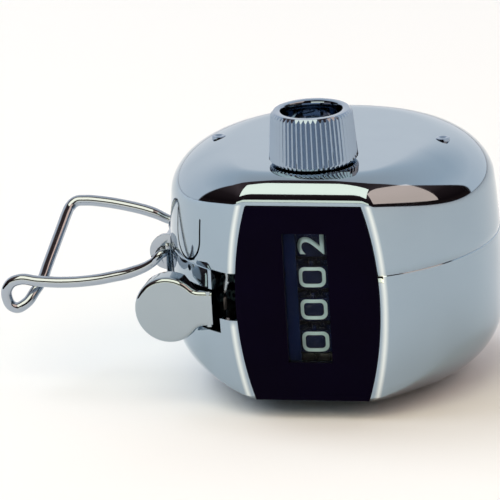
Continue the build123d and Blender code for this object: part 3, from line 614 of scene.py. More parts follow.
class TALLY_OT_case_shells(bpy.types.Operator):
    """Draw the upper and lower shells, with the window, lever slot and locking tongue cut out"""
    bl_idname = "tally.case_shells"
    bl_label = "Case shells"

    def execute(self, context):
        settings = context.scene.tally_case
        steel = plated("chromed_drawn_steel", settings.chrome, 0.035, 0.10)
        upper = shell_sheet("case_upper", low_edge=False)
        thicken(upper, settings.wall)
        cut(upper, window_cutter())
        cut(upper, tongue_slit())
        cut(upper, rod("bush_hole", AXIS + Vector((0, 0, DECK_HEIGHT - 2 * MM)),
                       AXIS + Vector((0, 0, DECK_HEIGHT + MM)), BUSH_HOLE))
        smooth(upper)
        coat(upper, steel, "chrome", "case", "upper_shell")

        lower = shell_sheet("case_lower", low_edge=True)
        thicken(lower, settings.wall)
        neck = neck_sheet()
        for piece in (lower, neck):
            cut(piece, window_cutter())
            for cutter in lever_slot():
                cut(piece, cutter)
        hole = spoke(TONGUE_DIRECTION + RELEASE_TURN)
        height = Vector((0, 0, SEAM_HEIGHT - RELEASE_DROP))
        cut(lower, rod("release_hole", hole * (CASE_RADIUS - 2 * MM) + height,
                       hole * (CASE_RADIUS + 2 * MM) + height, RELEASE_RADIUS, sides=24))
        for low, high in foot_screws():
            middle = (low + high) / 2
            sink = ((0, -MM), (SCREW_HEAD, -MM), (SCREW_HEAD, 0.0), (SCREW_HOLE, 0.8 * MM),
                    (SCREW_HOLE, 2 * MM), (0, 2 * MM))
            cut(lower, turned("countersink", sink, (middle.x, middle.y, 0.0), sides=48))
        lower = join(lower, neck)
        smooth(lower)
        coat(lower, steel, "chrome", "case", "lower_shell")
        return {"FINISHED"}


def foot_screws():
    """Boxes of the three screws in the base, from the frame's own pieces."""
    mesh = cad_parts["base_screws"].data
    heads = [vertex.co for vertex in mesh.vertices if vertex.co.z < 0.01 * MM]
    groups = []
    for point in heads:
        for group in groups:
            if (group[0] - point).length < 4 * MM:
                group.append(point)
                break
        else:
            groups.append([point])
    return [(Vector([min(p[axis] for p in group) for axis in range(3)]),
             Vector([max(p[axis] for p in group) for axis in range(3)])) for group in groups]


def neck_sheet():
    """The lower shell's neck, which the upper shell slides over."""
    settings = bpy.context.scene.tally_case
    inset = settings.wall + 0.05 * MM
    low, high = SEAM_HEIGHT - 1.0 * MM, SEAM_HEIGHT + 2.2 * MM

    def place(u, v):
        height = low + (high - low) * v
        half = abs(2 * u - 1)
        turn = turn_at(half, corner_turn(height))
        radius = barrel_radius(height) - inset
        if turn < FLAT_REACH:
            radius = soft_lesser(radius, (FLAT_DISTANCE - inset) / math.cos(turn), CORNER_BLEND)
        side = 1 if u > 0.5 else -1
        return Vector((side * radius * math.sin(turn), -radius * math.cos(turn), height))

    neck = drawn_sheet("case_neck", AROUND, 3, place)
    thicken(neck, 0.6 * MM)
    return neck


# ------------------------------------------------------------------ panel and pane
class TALLY_OT_window_panel(bpy.types.Operator):
    """Cut the black panel to the flat front's outline, with its window and bevelled edge"""
    bl_idname = "tally.window_panel"
    bl_label = "Window panel"

    def execute(self, context):
        settings = context.scene.tally_case
        steps = 24
        right = []
        for step in range(steps + 1):
            height = PANEL_LOW.z + (PANEL_HIGH.z - PANEL_LOW.z) * step / steps
            away = abs(2 * step / steps - 1)
            half = math.sqrt(barrel_radius(height) ** 2 - FLAT_DISTANCE ** 2) - settings.panel_margin
            half -= PANEL_PINCH * away ** 2
            right.append((half, height))
        outline = right + [(-half, height) for half, height in reversed(right)]
        depth = PANEL_HIGH.y - PANEL_LOW.y
        panel = prism("front_panel", outline, 0.0, depth)
        panel.data.transform(Matrix.Translation((0, PANEL_HIGH.y, 0)) @ Matrix.Rotation(math.pi / 2, 4, "X"))
        cut(panel, window_cutter(grow=0.05 * MM))
        close_up(panel)
        bevel_edges(panel, 0.1 * MM, segments=3, angle=math.radians(50))
        smooth(panel)
        plastic = moulded("moulded_black_acetal", settings.panel, 0.42, linear("#070318"), gloss=0.02)
        coat(panel, plastic, "panel_black", "case", "window_panel")
        navy = moulded("moulded_navy_styrene", settings.mask, 0.5, linear("#03123A"), gloss=0.05)
        dress("window_mask", navy)
        dress("window_lens", clear_pane("clear_polystyrene", settings.pane))
        return {"FINISHED"}


def dress(node_name, material):
    """Give one of the frame's own pieces its finish."""
    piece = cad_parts[node_name]
    piece.data.materials.clear()
    piece.data.materials.append(material)


# ------------------------------------------------------------------ reset knob
KNOB_ROWS = 22
KNOB_BASE_RADIUS = 6.27 * MM
KNOB_TOP_RADIUS = 5.77 * MM
RIVET_PLACE = 16.2 * MM     # each deck rivet's distance from the middle
SLOT_TURN = math.radians(55)


class TALLY_OT_reset_knob(bpy.types.Operator):
    """Turn the hollow reset knob, its straight grip ridges, bush, screw and the deck's rivets"""
    bl_idname = "tally.reset_knob"
    bl_label = "Reset knob"

    def execute(self, context):
        settings = context.scene.tally_knob
        steel = plated("chromed_turned_brass", settings.chrome, 0.05, 0.12)
        knob = self.ridged_body(settings)
        smooth(knob, math.radians(24))
        coat(knob, steel, "chrome", "reset_shaft", "reset_knob")

        base = BUSH_HIGH.z
        bush = turned("deck_bush", ((1.56 * MM, -1.2 * MM), (3.3 * MM, -1.2 * MM), (3.3 * MM, -0.4 * MM),
                                    (2.5 * MM, -0.4 * MM), (2.5 * MM, 0.0), (4.2 * MM, 0.0),
                                    (4.4 * MM, 0.1 * MM), (4.3 * MM, base - DECK_HEIGHT),
                                    (1.56 * MM, base - DECK_HEIGHT), (1.56 * MM, -1.2 * MM)),
                      (AXIS.x, AXIS.y, DECK_HEIGHT))
        smooth(bush)
        coat(bush, steel, "chrome", "case", "knob_bush")

        top = SCREW_HIGH.z
        length_below = 4.52 * MM
        side = ((0.0, 0.0), (0.8 * MM, 0.0), (0.8 * MM, 3.2 * MM), (2.5 * MM, 3.2 * MM), (2.5 * MM, 4.1 * MM),
                (2.3 * MM, 4.4 * MM), (1.4 * MM, 4.5 * MM), (0.0, length_below))
        screw = turned("knob_screw_head", side, (AXIS.x, AXIS.y, top - length_below), sides=64)
        slot_half, slot_depth = 0.3 * MM, 0.7 * MM
        slot = box_piece("slot", (-3 * MM, AXIS.y - slot_half, top - slot_depth),
                         (3 * MM, AXIS.y + slot_half, top + MM))
        slot.data.transform(Matrix.Translation(AXIS) @ Matrix.Rotation(SLOT_TURN, 4, "Z")
                            @ Matrix.Translation(-AXIS))
        cut(screw, slot)
        smooth(screw)
        coat(screw, steel, "plated_steel", "reset_shaft", "knob_screw")

        rivets = []
        for x in (RIVET_PLACE, -RIVET_PLACE):
            shape = ((0.0, -7.0 * MM), (0.8 * MM, -7.0 * MM), (0.8 * MM, -0.8 * MM), (1.0 * MM, -0.8 * MM),
                     (1.0 * MM, -0.02 * MM), (0.85 * MM, 0.02 * MM), (0.65 * MM, 0.04 * MM),
                     (0.5 * MM, -0.02 * MM), (0.25 * MM, -0.18 * MM), (0.0, -0.22 * MM))
            rivets.append(turned("deck_rivet", shape, (x, 0.0, DECK_HEIGHT), sides=48))
        rivets = join(*rivets)
        rivets.name = "deck_rivets"
        smooth(rivets)
        coat(rivets, steel, "chrome", "case", "case_rivets")
        return {"FINISHED"}

    def ridged_body(self, settings):
        """The knob's skin as one sheet: under the skirt, up the ridges, over the lip and into the hollow."""
        base_radius, top_radius = KNOB_BASE_RADIUS, KNOB_TOP_RADIUS
        height = KNOB_HIGH.z - KNOB_LOW.z
        lip_run = 0.45 * MM
        lip_drop = 0.52 * MM
        bore = settings.bore
        inner_roll = 0.25 * MM
        per_ridge = 8
        around = settings.ridges * per_ridge
        crest_roll = 0.09 * MM

        def ridge(u):
            """0 in a groove, 1 on a crest."""
            share = abs(((u * settings.ridges) % 1.0) - 0.5) * 2
            return 1 - ease(share * 0.9)

        def outer(level, u):
            radius = base_radius + (top_radius - base_radius) * level / height
            return radius - settings.ridge_depth * (1 - ridge(u))

        def place(u, v):
            row = round(v * KNOB_ROWS)
            turn = u * math.tau
            crest = outer(height, u)
            lip_edge = top_radius - lip_run
            top_level = height - lip_drop * (crest - lip_edge) / lip_run
            foot = outer(0.0, u)
            foot_level = 0.35 * MM - 0.9 * (base_radius - foot)
            stations = [
                (1.5 * MM, 1.2 * MM), (4.6 * MM, 1.2 * MM), (4.67 * MM, 0.05 * MM), (4.75 * MM, 0.0),
                (base_radius - 0.45 * MM, 0.0), (base_radius - 0.35 * MM, 0.02 * MM),
                (foot, max(foot_level, 0.05 * MM) + 0.1 * MM),
                (outer(1.0 * MM, u), 1.0 * MM), (outer(height * 0.35, u), height * 0.35),
                (outer(height * 0.65, u), height * 0.65), (crest, top_level - crest_roll), (crest, top_level),
                (lip_edge + 0.01 * MM, height - 0.02 * MM), (lip_edge, height - 0.01 * MM),
                (lip_edge - 0.2 * MM, height), (bore + inner_roll, height),
                (bore + inner_roll * 0.3, height - inner_roll * 0.3),
                (bore, height - inner_roll), (bore, height - 1.2 * MM), (bore, settings.floor + 0.3 * MM),
                (bore - 0.25 * MM, settings.floor), (2.0 * MM, settings.floor), (1.5 * MM, settings.floor)]
            radius, level = stations[row]
            return Vector((AXIS.x + radius * math.cos(turn), AXIS.y + radius * math.sin(turn),
                           KNOB_LOW.z + level))

        knob = drawn_sheet("reset_knob_body", around, KNOB_ROWS, place)
        bore_wall = turned("knob_bore", ((1.5 * MM, 1.2 * MM), (1.5 * MM, settings.floor)),
                           (AXIS.x, AXIS.y, KNOB_LOW.z), sides=around)
        knob = join(knob, bore_wall)
        close_up(knob, 0.01 * MM)
        return knob


# ------------------------------------------------------------------ thumb lever
LEVER_FACE = -18.4 * MM     # the pad's flat face, in front of the case
NECK_BEND = -14.3 * MM      # where the neck turns back to the arm
NECK_HEIGHT = 15.3 * MM
PAD_PLACE = -20.75 * MM     # the pad's middle, across
CASE_GAP = 0.6 * MM         # room between the skirt and the case


class TALLY_OT_thumb_lever(bpy.types.Operator):
    """Press the thumb pad with its turned edge and neck, and bend its arm back to the pivot"""
    bl_idname = "tally.thumb_lever"
    bl_label = "Thumb lever"

    def execute(self, context):
        settings = context.scene.tally_lever
        pad = self.pressed_pad(settings)
        arm = self.arm(settings)
        bore, tube = 1.05 * MM, 2.0 * MM
        side = ((bore, LEVER_LOW.z), (tube, LEVER_LOW.z), (tube, LEVER_HIGH.z), (bore, LEVER_HIGH.z),
                (bore, LEVER_LOW.z))
        hub = turned("lever_hub", side, tuple(PIVOT), sides=48)
        lever = join(pad, arm, hub, self.pawl_arm())
        smooth(lever, math.radians(30))
        steel = plated("chromed_pressed_steel", settings.chrome, 0.05, 0.10)
        coat(lever, steel, "chrome", "lever", "thumb_lever")
        return {"FINISHED"}

    def outline(self, settings, shrink):
        """Outline of the pad and neck in X and Z, drawn in by shrink."""
        centre_x, centre_z = PAD_PLACE, settings.pad_height
        radius = settings.pad_radius - shrink
        fillet = 1.9 * MM + shrink
        half = settings.neck_half - shrink
        points = []
        for side in (1, -1):
            line = NECK_HEIGHT + side * half
            rise = abs(line + side * fillet - centre_z)
            run = math.sqrt((radius + fillet) ** 2 - rise ** 2)
            fillet_centre = (centre_x + run, line + side * fillet)
            toward_pad = math.atan2(centre_z - fillet_centre[1], centre_x - fillet_centre[0])
            toward_line = -side * math.pi / 2
            if side < 0 and toward_pad < 0:
                toward_pad += math.tau
            sweep = arc(fillet_centre, fillet, toward_line, toward_pad, 10)
            if side > 0:
                points.append((NECK_BEND, line))
                points += sweep
                pad_start = toward_pad + math.pi
            else:
                pad_end = toward_pad + math.pi
                while pad_end < pad_start:
                    pad_end += math.tau
                points += arc((centre_x, centre_z), radius, pad_start, pad_end, 72)[1:-1]
                points += list(reversed(sweep))
                points.append((NECK_BEND, line))
        return points

    def pressed_pad(self, settings):
        """The pad's sheet: a flat face, a rolled edge and a skirt that runs back towards the case."""
        roll = 0.7 * MM
        steps = 7
        rings = [(roll, 0.0)]
        for step in range(1, steps + 1):
            turn = math.pi / 2 * step / steps
            rings.append((roll * (1 - math.sin(turn)), roll * (1 - math.cos(turn))))
        rings.append((0.0, settings.skirt * 0.6))
        rings.append((0.0, settings.skirt))
        outlines = [self.outline(settings, shrink) for shrink, _ in rings]
        count = len(outlines[0])
        points, faces = [], []
        for ring, (shrink, depth) in zip(outlines, rings):
            for x, z in ring:
                back = depth
                if math.hypot(x, LEVER_FACE + depth) < CASE_RADIUS + CASE_GAP:
                    free = -math.sqrt(max((CASE_RADIUS + CASE_GAP) ** 2 - x * x, 0.0))
                    back = max(min(depth, free - LEVER_FACE), min(depth, roll))
                points.append((x, LEVER_FACE + back, z))
        faces.append(list(range(count)))
        for level in range(len(rings) - 1):
            for index in range(count - 1):
                a = level * count + index
                faces.append([a, a + count, a + count + 1, a + 1])
        pad = from_points("thumb_pad", points, faces=faces)
        close_up(pad)
        front = min(pad.data.polygons, key=lambda polygon: polygon.center.y)
        if front.normal.y > 0:
            edit(pad, lambda: bpy.ops.mesh.flip_normals())
        thicken(pad, settings.sheet * 0.8)
        return pad

    def arm(self, settings):
        """Flat arm on edge: straight back from the neck through the slot, then across to the pivot."""
        sheet = 1.0 * MM
        low, high, top = 12.7 * MM, 17.9 * MM, 20.4 * MM
        elbow = Vector((NECK_BEND - sheet / 2, LEVER_FACE + sheet / 2, 0))
        knee = elbow + Vector((0, settings.arm_run, 0))
        parts = []
        for start, end, crest in ((elbow, knee, high), (knee, PIVOT, top)):
            run = (end - start).length
            step = [] if crest == high else [(2.0 * MM, crest)]
            corners = [(0, low), (run, low), (run, crest), *step, (0, high)]
            arm = prism("lever_arm", corners, -sheet / 2, sheet / 2)
            arm.data.transform(Matrix.Rotation(math.pi / 2, 4, "X"))
            direction = math.atan2(end.y - start.y, end.x - start.x)
            arm.data.transform(Matrix.Translation(start) @ Matrix.Rotation(direction, 4, "Z"))
            bevel_edges(arm, 0.12 * MM, segments=2)
            parts.append(arm)
            parts.append(turned("lever_bend", ((0.0, low), (sheet / 2, low), (sheet / 2, high), (0.0, high)),
                                tuple(start), sides=32))
        return join(*parts)

    def pawl_arm(self):
        """Flat arm under the drive pawl."""
        pin_low, pin_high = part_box("drive_pawl_pin")
        end = Vector(((pin_low.x + pin_high.x) / 2, (pin_low.y + pin_high.y) / 2, 0))
        along = (end - PIVOT).normalized()
        turn = math.atan2(along.y, along.x)
        corners = arc(end.xy, 1.8 * MM, turn - math.pi / 2, turn + math.pi / 2, 16)
        corners += arc(PIVOT.xy, 1.9 * MM, turn + math.pi / 2, turn + 3 * math.pi / 2, 16)
        arm = prism("pawl_arm", corners, pin_low.z, pin_low.z + 1.0 * MM)
        bevel_edges(arm, 0.1 * MM, segments=2)
        return arm


# ------------------------------------------------------------------ finger ring and bracket
HINGE = Vector((-23.7 * MM, 0.0, 19.8 * MM))
EAR_PLACE = 6.0 * MM        # each ear's distance from the middle
SADDLE_HALF = 6.4 * MM      # half of the saddle's width
END_POINTS = 4              # points of the route, at either end, that have the thinner wire
# The bent wire from one ear's inside to the other's, in millimetres from the hinge.
RING_ROUTE = ((0, -5.1, 0), (0, -6.5, 0), (-0.3, -7.15, -0.1), (-1.5, -7.25, -1.3),
              (-4.6, -7.15, -2.8), (-7.7, -7.15, -3.6), (-11.0, -7.15, -4.2), (-14.8, -7.15, -4.5),
              (-18.5, -7.15, -4.4), (-21.4, -7.15, -4.2), (-22.9, -7.15, -5.1), (-23.3, -7.1, -6.9),
              (-22.3, -6.8, -8.5), (-20.9, -6.3, -8.1), (-19.6, -5.0, -6.5), (-18.9, -3.6, -5.4),
              (-18.5, -1.6, -3.85), (-17.9, 1.3, -1.6), (-17.3, 4.2, 0.65), (-17.0, 5.6, 1.75),
              (-16.7, 6.5, 2.45), (-15.9, 7.05, 3.1), (-14.6, 7.15, 3.25),
              (-12.5, 7.15, 3.15), (-8.3, 7.15, 2.5), (-4.8, 7.15, 1.6),
              (-1.8, 7.25, 0.3), (-0.3, 7.15, 0.1), (0, 6.5, 0), (0, 5.1, 0))


class TALLY_OT_finger_ring(bpy.types.Operator):
    """Bend the finger ring from wire and form the riveted bracket with its two ears"""
    bl_idname = "tally.finger_ring"
    bl_label = "Finger ring"

    def execute(self, context):
        settings = context.scene.tally_ring
        steel = plated("chromed_spring_wire", settings.chrome, 0.06, 0.10)
        ring = self.wire(settings)
        coat(ring, steel, "chrome", "ring", "finger_ring")
        bracket = self.bracket(settings)
        coat(bracket, steel, "chrome", "case", "ring_bracket")
        rivets = []
        for turn in RIVET_TURNS:
            shape = ((0.0, 20.5 * MM), (0.6 * MM, 20.5 * MM), (0.6 * MM, 24.32 * MM), (1.1 * MM, 24.32 * MM),
                     (1.05 * MM, 24.48 * MM), (0.8 * MM, 24.62 * MM),
                     (0.4 * MM, 24.68 * MM), (0.0, 24.69 * MM))
            lay = (Matrix.Translation((0, 0, RIVET_HEIGHT)) @ Matrix.Rotation(turn, 4, "Z")
                   @ Matrix.Rotation(math.pi / 2, 4, "Y"))
            rivets.append(turned("bracket_rivet", shape, (0, 0, 0), sides=48, lay=lay))
        rivets = join(*rivets)
        rivets.name = "bracket_rivet_pair"
        smooth(rivets)
        coat(rivets, steel, "plated_steel", "case", "bracket_rivets")
        return {"FINISHED"}

    def wire(self, settings):
        end = settings.wire_end / settings.wire
        curve = bpy.data.curves.new("ring_wire", "CURVE")
        curve.dimensions = "3D"
        curve.resolution_u = 14
        spline = curve.splines.new("BEZIER")
        spline.bezier_points.add(len(RING_ROUTE) - 1)
        for index, (point, place) in enumerate(zip(spline.bezier_points, RING_ROUTE)):
            point.co = HINGE + Vector(place) * MM
            point.handle_left_type = point.handle_right_type = "AUTO"
            point.radius = end if min(index, len(RING_ROUTE) - 1 - index) < END_POINTS else 1.0
        curve.bevel_depth = settings.wire
        curve.bevel_resolution = 7
        curve.use_fill_caps = True
        ring = bpy.data.objects.new("finger_ring_wire", curve)
        bpy.context.collection.objects.link(ring)
        pick(ring)
        bpy.ops.object.convert(target="MESH")
        ring = bpy.context.object
        close_up(ring)
        smooth(ring, math.radians(50))
        return ring

    def bracket(self, settings):
        """A saddle strip on the case with two ears turned out of it."""
        sheet = 0.8 * MM
        inner = CASE_RADIUS + 0.02 * MM
        spread = math.asin(SADDLE_HALF / inner)
        low, high = BRACKET_LOW.z, SEAM_HEIGHT - 0.1 * MM

        def place(u, v):
            turn = math.pi + spread * (1 - 2 * u)
            radius = inner + sheet
            return Vector((radius * math.cos(turn), radius * math.sin(turn), low + (high - low) * v))

        saddle = drawn_sheet("ring_saddle", 24, 2, place)
        if saddle.data.polygons[0].normal.x > 0:
            edit(saddle, lambda: bpy.ops.mesh.flip_normals())
        thicken(saddle, sheet)
        bevel_edges(saddle, 0.12 * MM, segments=2, angle=math.radians(50))
        parts = [saddle]
        for side in (-1, 1):
            y = side * EAR_PLACE
            root = -math.sqrt(inner ** 2 - (y - side * sheet / 2) ** 2) - 0.3 * MM
            ear = rod("ring_ear", (root, y - sheet / 2, HINGE.z), (root, y + sheet / 2, HINGE.z),
                      settings.ear_radius, sides=72)
            cut(ear, rod("case_space", (0, 0, 0), (0, 0, DECK_HEIGHT), inner, sides=256))
            cut(ear, rod("wire_hole", (HINGE.x, y - MM, HINGE.z), (HINGE.x, y + MM, HINGE.z),
                         settings.wire_end + 0.05 * MM, sides=40))
            bevel_edges(ear, 0.16 * MM, segments=3, angle=math.radians(50))
            parts.append(ear)
        bracket = join(*parts)
        bracket.name = "ring_bracket_formed"
        smooth(bracket)
        return bracket


# ------------------------------------------------------------------ number wheels
ZERO_CORNER = 0.9 * MM
RIM_RADIUS = 6.95 * MM      # what lies further out than this is the rim
DIGIT_PROUD = 0.015 * MM
DIGIT_FOIL = 0.04 * MM
FRONT_TURN = 270            # degrees about the wheels' axis, to the flat front
DIGIT_STEP = 36             # degrees from one digit to the next
DIGIT_OFFSET = 2.9          # degrees, digit's middle past the window's middle


class TALLY_OT_number_wheels(bpy.types.Operator):
    """Print the digits round each number wheel's rim and colour the wheels"""
    bl_idname = "tally.number_wheels"
    bl_label = "Number wheels"

    def execute(self, context):
        settings = context.scene.tally_wheels
        plastic = moulded("moulded_navy_acetal", settings.body, 0.45, linear("#03123A"), gloss=0.08)
        paint = moulded("hot_stamped_digit_foil", settings.paint, 0.5, linear("#A4C3C8"), gloss=0.2)
        shapes = [self.flat_digit(settings, value) for value in range(10)]
        for place, name in enumerate(reversed(WHEEL_NAMES)):
            shown = settings.shown // 10 ** place % 10
            dress(f"number_wheel_{name}", plastic)
            low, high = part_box(f"number_wheel_{name}")
            radius = (high.x - low.x) / 2
            middle = self.rim_middle(name)
            digits = []
            for value in range(10):
                turn = math.radians(FRONT_TURN + DIGIT_STEP * (value - shown) + DIGIT_OFFSET)
                label = f"digit_{name}_{value}"
                digits.append(self.wrapped_digit(shapes[value], radius, middle, turn, label))
            digits = join(*digits)
            digits.name = f"digits_{name}"
            digits.data.name = digits.name
            coat(digits, paint, None, f"{name}_wheel")
        for shape in shapes:
            bpy.data.objects.remove(shape, do_unlink=True)
        return {"FINISHED"}

    def rim_middle(self, name):
        """Height of the middle of a wheel's rim, from the frame's mesh."""
        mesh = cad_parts[f"number_wheel_{name}"].data
        rim = [vertex.co.z for vertex in mesh.vertices if (vertex.co.xy - AXIS.xy).length > RIM_RADIUS]
        return (min(rim) + max(rim)) / 2

    def flat_digit(self, settings, value):
        """One digit as a thin flat plate, upright in X and Y about the origin."""
        digit = self.flat_zero(settings) if value == 0 else self.flat_text(value)
        xs = [vertex.co.x for vertex in digit.data.vertices]
        ys = [vertex.co.y for vertex in digit.data.vertices]
        middle = Vector(((min(xs) + max(xs)) / 2, (min(ys) + max(ys)) / 2, 0))
        tall = settings.digit_height / (max(ys) - min(ys))
        wide = tall if value == 1 else settings.digit_width / (max(xs) - min(xs))
        scale = Matrix.Diagonal((wide, tall, 1.0, 1.0))
        digit.data.transform(scale @ Matrix.Translation(-middle))
        for step in range(-7, 8):
            level = settings.digit_height / 16 * step
            edit(digit, lambda: bpy.ops.mesh.bisect(plane_co=(0, level, 0), plane_no=(0, 1, 0)))
        return digit

    def flat_text(self, value):
        """A digit's outline from the built-in letters, as a mesh."""
        clear_selection()
        bpy.ops.object.text_add()
        text = bpy.context.object
        text.data.body = str(value)
        text.data.size = 1.0
        text.data.offset = 0.008
        text.data.resolution_u = 5
        bpy.ops.object.convert(target="MESH")
        return bpy.context.object

    def flat_zero(self, settings):
        """A zero as a squared ring with rounded corners."""
        wide, tall = settings.digit_width / 2, settings.digit_height / 2
        points = []
        for inset in (0.0, settings.stroke):
            curve = ZERO_CORNER - inset * 0.75
            for turn, (x, y) in enumerate(((1, 1), (-1, 1), (-1, -1), (1, -1))):
                centre = (x * (wide - inset - curve), y * (tall - inset - curve))
                points += arc(centre, curve, turn * math.pi / 2, (turn + 1) * math.pi / 2, 5)
        count = len(points) // 2
        faces = [(a, (a + 1) % count, (a + 1) % count + count, a + count) for a in range(count)]
        return from_points("zero", [(x, y, 0) for x, y in points], faces=faces)

    def wrapped_digit(self, shape, radius, middle, turn, name):
        """A copy of a flat digit wrapped on the rim; its top points against the count's direction."""
        mesh = shape.data.copy()
        digit = bpy.data.objects.new(name, mesh)
        bpy.context.collection.objects.link(digit)
        reach = radius + DIGIT_PROUD
        for vertex in mesh.vertices:
            along, up = vertex.co.x, vertex.co.y
            angle = turn - up / radius
            vertex.co = (AXIS.x + reach * math.cos(angle), AXIS.y + reach * math.sin(angle), middle + along)
        outward = sum(polygon.normal.dot(spoke(turn)) * polygon.area for polygon in mesh.polygons)
        if outward < 0:
            mesh.flip_normals()
        thicken(digit, DIGIT_FOIL, even=False)
        return digit


# ------------------------------------------------------------------ works inside the case
WORKS = (
    ("zinc_plated_steel", "#AEB2B4", 0.32, ("frame_lower_plate", "frame_upper_plate", "frame_feet",
                                            "frame_pillars", "deck_posts", "base_screws", "wheel_spacer",
                                            "lever_pivot_pin", "drive_pawl_pin", "spring_anchor",
                                            "detent_post")),
    ("turned_free_cutting_steel", "#9DA3A8", 0.25, ("wheel_shaft", "pinion_shaft")),
    ("turned_brass", "#B79A55", 0.28, ("pinion_spacers",)),
    ("hardened_blued_steel", "#6E7378", 0.3, ("ratchet_wheel", "drive_pawl", "shaft_clip")),
    ("tempered_spring_steel", "#8A8D90", 0.28, ("lever_return_spring", "detent_spring")),
)


class TALLY_OT_works(bpy.types.Operator):
    """Finish the frame plates, shafts, gears and springs inside the case"""
    bl_idname = "tally.works"
    bl_label = "Works"

    def execute(self, context):
        for name, shade, roughness, pieces in WORKS:
            metal = machined(name, linear(shade), roughness)
            for piece in pieces:
                dress(piece, metal)
        nylon = moulded("moulded_natural_nylon", linear("#D8D4C4"), 0.4, linear("#CFC9B4"), gloss=0.5)
        for name in WHEEL_NAMES[:3]:
            dress(f"carry_pinion_{name}", nylon)
        return {"FINISHED"}


# ------------------------------------------------------------------ studio
AIM_RIGHT, AIM_UP = -12.29 * MM, 18.16 * MM     # the point the camera looks at, from the origin
ROOM_GLOW = 1.15


class TALLY_OT_studio(bpy.types.Operator):
    """Set the pale floor, the soft lights, the room around them and the camera"""
    bl_idname = "tally.studio"
    bl_label = "Studio"

    def execute(self, context):
        settings = context.scene.tally_studio
        context.scene.view_settings.view_transform = "Standard"
        self.floor(settings)
        self.room(context.scene)
        self.lights()
        self.camera(context.scene, settings)
        return {"FINISHED"}

    def floor(self, settings):
        clear_selection()
        bpy.ops.mesh.primitive_plane_add(size=6.0, location=(0, 0, 0))
        floor = named("floor")
        material = blank_material("matt_white_paper")
        place = node(material, "ShaderNodeTexCoord").outputs["Object"]
        grain = node(material, "ShaderNodeTexNoise", {"Vector": place}, Scale=1 / (0.8 * MM), Detail=3.0)
        relief = node(material, "ShaderNodeBump", {"Height": grain.outputs[0]}, Strength=0.05,
                      Distance=0.01 * MM)
        finish_surface(material, {"Normal": relief.outputs[0]}, Base_Color=settings.floor, Roughness=0.9,
                       Specular_IOR_Level=0.1)
        floor.data.materials.append(material)

    def room(self, scene):
        """Light of the room by direction: pale behind, dark brown in front and further round to the right."""
        world = bpy.data.worlds.new("studio_room")
        world.use_nodes = True
        world.node_tree.nodes.clear()
        scene.world = world
        direction = node(world, "ShaderNodeTexCoord").outputs["Generated"]
        parts = node(world, "ShaderNodeSeparateXYZ", {"Vector": direction})
        rear = node(world, "ShaderNodeValToRGB", {"Fac": parts.outputs["Z"]})
        set_ramp(rear, ((0.0, "#F0F0F2"), (0.35, "#F0F0F2"), (0.6, "#D6DCE2"), (1.0, "#CCCBCC")))
        front = node(world, "ShaderNodeValToRGB", {"Fac": parts.outputs["Z"]})
        set_ramp(front, ((0.0, "#2A1E1C"), (0.16, "#1B1213"), (0.45, "#2E2222"), (0.75, "#5C4A48"),
                         (1.0, "#3A2E2E")))
        depth = node(world, "ShaderNodeMapRange", {"Value": parts.outputs["Y"]}, From_Min=-1.0, From_Max=1.0)
        across = node(world, "ShaderNodeMapRange", {"Value": parts.outputs["X"]}, From_Min=-1.0, From_Max=1.0)
        reach = node(world, "ShaderNodeValToRGB", {"Fac": across.outputs[0]})
        set_ramp(reach, ((0.0, "#3E3E3E"), (0.4, "#000000"), (0.62, "#000000"), (0.8, "#383838"),
                         (1.0, "#A8A8A8")))
        lean = node(world, "ShaderNodeMath", {0: depth.outputs[0], 1: reach.outputs[0]}, operation="SUBTRACT")
        side = node(world, "ShaderNodeValToRGB", {"Fac": lean.outputs[0]})
        set_ramp(side, ((0.0, "#000000"), (0.545, "#000000"), (0.56, "#FFFFFF"), (1.0, "#FFFFFF")))
        blend = node(world, "ShaderNodeMix", {"Factor": side.outputs[0], "A": front.outputs[0],
                                              "B": rear.outputs[0]}, data_type="RGBA")
        sky = node(world, "ShaderNodeBackground", {"Color": blend.outputs["Result"]}, Strength=ROOM_GLOW)
        node(world, "ShaderNodeOutputWorld", {"Surface": sky.outputs[0]})

    def lights(self):
        soft_box("top_softbox", azimuth=-13, elevation=55, distance=1.2, size=(1.0, 1.0),
                 glow=2.2, shade="#FFF8DC")
        soft_box("low_strip", azimuth=-13, elevation=5, distance=2.0, size=(1.8, 0.30),
                 glow=1.7, shade="#FFF8DC")
        soft_box("side_card", azimuth=68, elevation=36, distance=1.2, size=(1.3, 1.05),
                 glow=1.25, shade="#FFD9C2")
        soft_box("fill", azimuth=262, elevation=45, distance=1.6, size=(1.4, 1.4), glow=3.0, shade="#EEF5FF",
                 mirrored=False)

    def camera(self, scene, settings):
        azimuth, elevation, roll = settings.azimuth, settings.elevation, settings.roll
        forward = Vector((-math.sin(azimuth) * math.cos(elevation), math.cos(azimuth) * math.cos(elevation),
                          -math.sin(elevation)))
        right = Vector((math.cos(azimuth), math.sin(azimuth), 0))
        up = right.cross(forward)
        aim = right * AIM_RIGHT + up * AIM_UP
        level_right = right * math.cos(roll) - up * math.sin(roll)
        level_up = up * math.cos(roll) + right * math.sin(roll)
        data = bpy.data.cameras.new("camera")
        data.lens = settings.lens
        data.sensor_width = 36.0
        camera = bpy.data.objects.new("camera", data)
        scene.collection.objects.link(camera)
        turn = Matrix((level_right, level_up, -forward)).transposed().to_4x4()
        camera.matrix_world = Matrix.Translation(aim - forward * settings.distance) @ turn
        data.clip_start = 0.05
        data.clip_end = 20.0
        scene.camera = camera


def set_ramp(ramp, stops):
    """Fill a colour ramp with places and hex colours."""
    elements = ramp.color_ramp.elements
    while len(elements) > 1:
        elements.remove(elements[-1])
    elements[0].position, elements[0].color = stops[0][0], linear(stops[0][1])
    for place, shade in stops[1:]:
        elements.new(place).color = linear(shade)


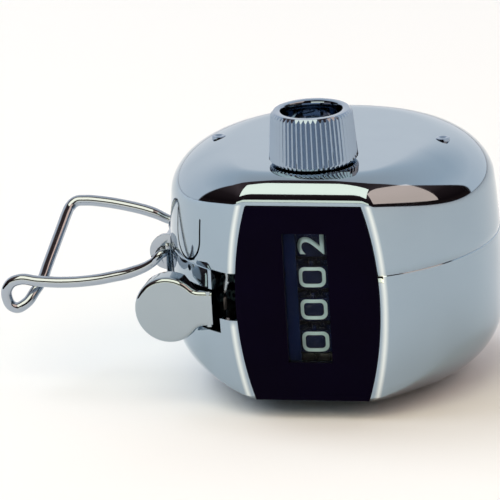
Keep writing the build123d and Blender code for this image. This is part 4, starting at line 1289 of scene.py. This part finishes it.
def soft_box(name, azimuth, elevation, distance, size, glow, shade, mirrored=True):
    """A rectangular soft light that faces the object; glow is its brightness as a mirror shows it."""
    turn, rise = math.radians(azimuth), math.radians(elevation)
    facing = Vector((math.sin(turn) * math.cos(rise), -math.cos(turn) * math.cos(rise), math.sin(rise)))
    place = facing * distance
    data = bpy.data.lights.new(name, "AREA")
    data.shape = "RECTANGLE"
    data.size, data.size_y = size
    data.energy = glow * math.pi * size[0] * size[1]
    data.color = linear(shade)[:3]
    light = bpy.data.objects.new(name, data)
    bpy.context.scene.collection.objects.link(light)
    light.location = place
    light.rotation_euler = (-place).to_track_quat("-Z", "Y").to_euler()
    light.visible_camera = False
    light.visible_glossy = mirrored


# ------------------------------------------------------------------ panel and registration
OPERATORS = (TALLY_OT_case_shells, TALLY_OT_window_panel, TALLY_OT_reset_knob, TALLY_OT_thumb_lever,
             TALLY_OT_finger_ring, TALLY_OT_number_wheels, TALLY_OT_works, TALLY_OT_studio)
SETTINGS = (("tally_case", CaseSettings), ("tally_knob", KnobSettings), ("tally_lever", LeverSettings),
            ("tally_ring", RingSettings), ("tally_wheels", WheelSettings), ("tally_studio", StudioSettings))


class TALLY_PT_sidebar(bpy.types.Panel):
    """Lists the counter's pieces and their settings"""
    bl_idname = "TALLY_PT_sidebar"
    bl_label = "Tally counter"
    bl_space_type = "VIEW_3D"
    bl_region_type = "UI"
    bl_category = "Tally"

    def draw(self, context):
        for operator in OPERATORS:
            self.layout.operator(operator.bl_idname)
        for name, group in SETTINGS:
            box = self.layout.box()
            values = getattr(context.scene, name)
            for key in group.__annotations__:
                box.prop(values, key)


CLASSES = tuple(group for _, group in SETTINGS) + OPERATORS + (TALLY_PT_sidebar,)


def register():
    for item in CLASSES:
        bpy.utils.register_class(item)
    for name, group in SETTINGS:
        setattr(bpy.types.Scene, name, PointerProperty(type=group))


def unregister():
    for name, _ in SETTINGS:
        delattr(bpy.types.Scene, name)
    for item in reversed(CLASSES):
        bpy.utils.unregister_class(item)


def main():
    register()
    for operator in OPERATORS:
        category, name = operator.bl_idname.split(".")
        getattr(getattr(bpy.ops, category), name)()


if __name__ == "__main__":
    main()
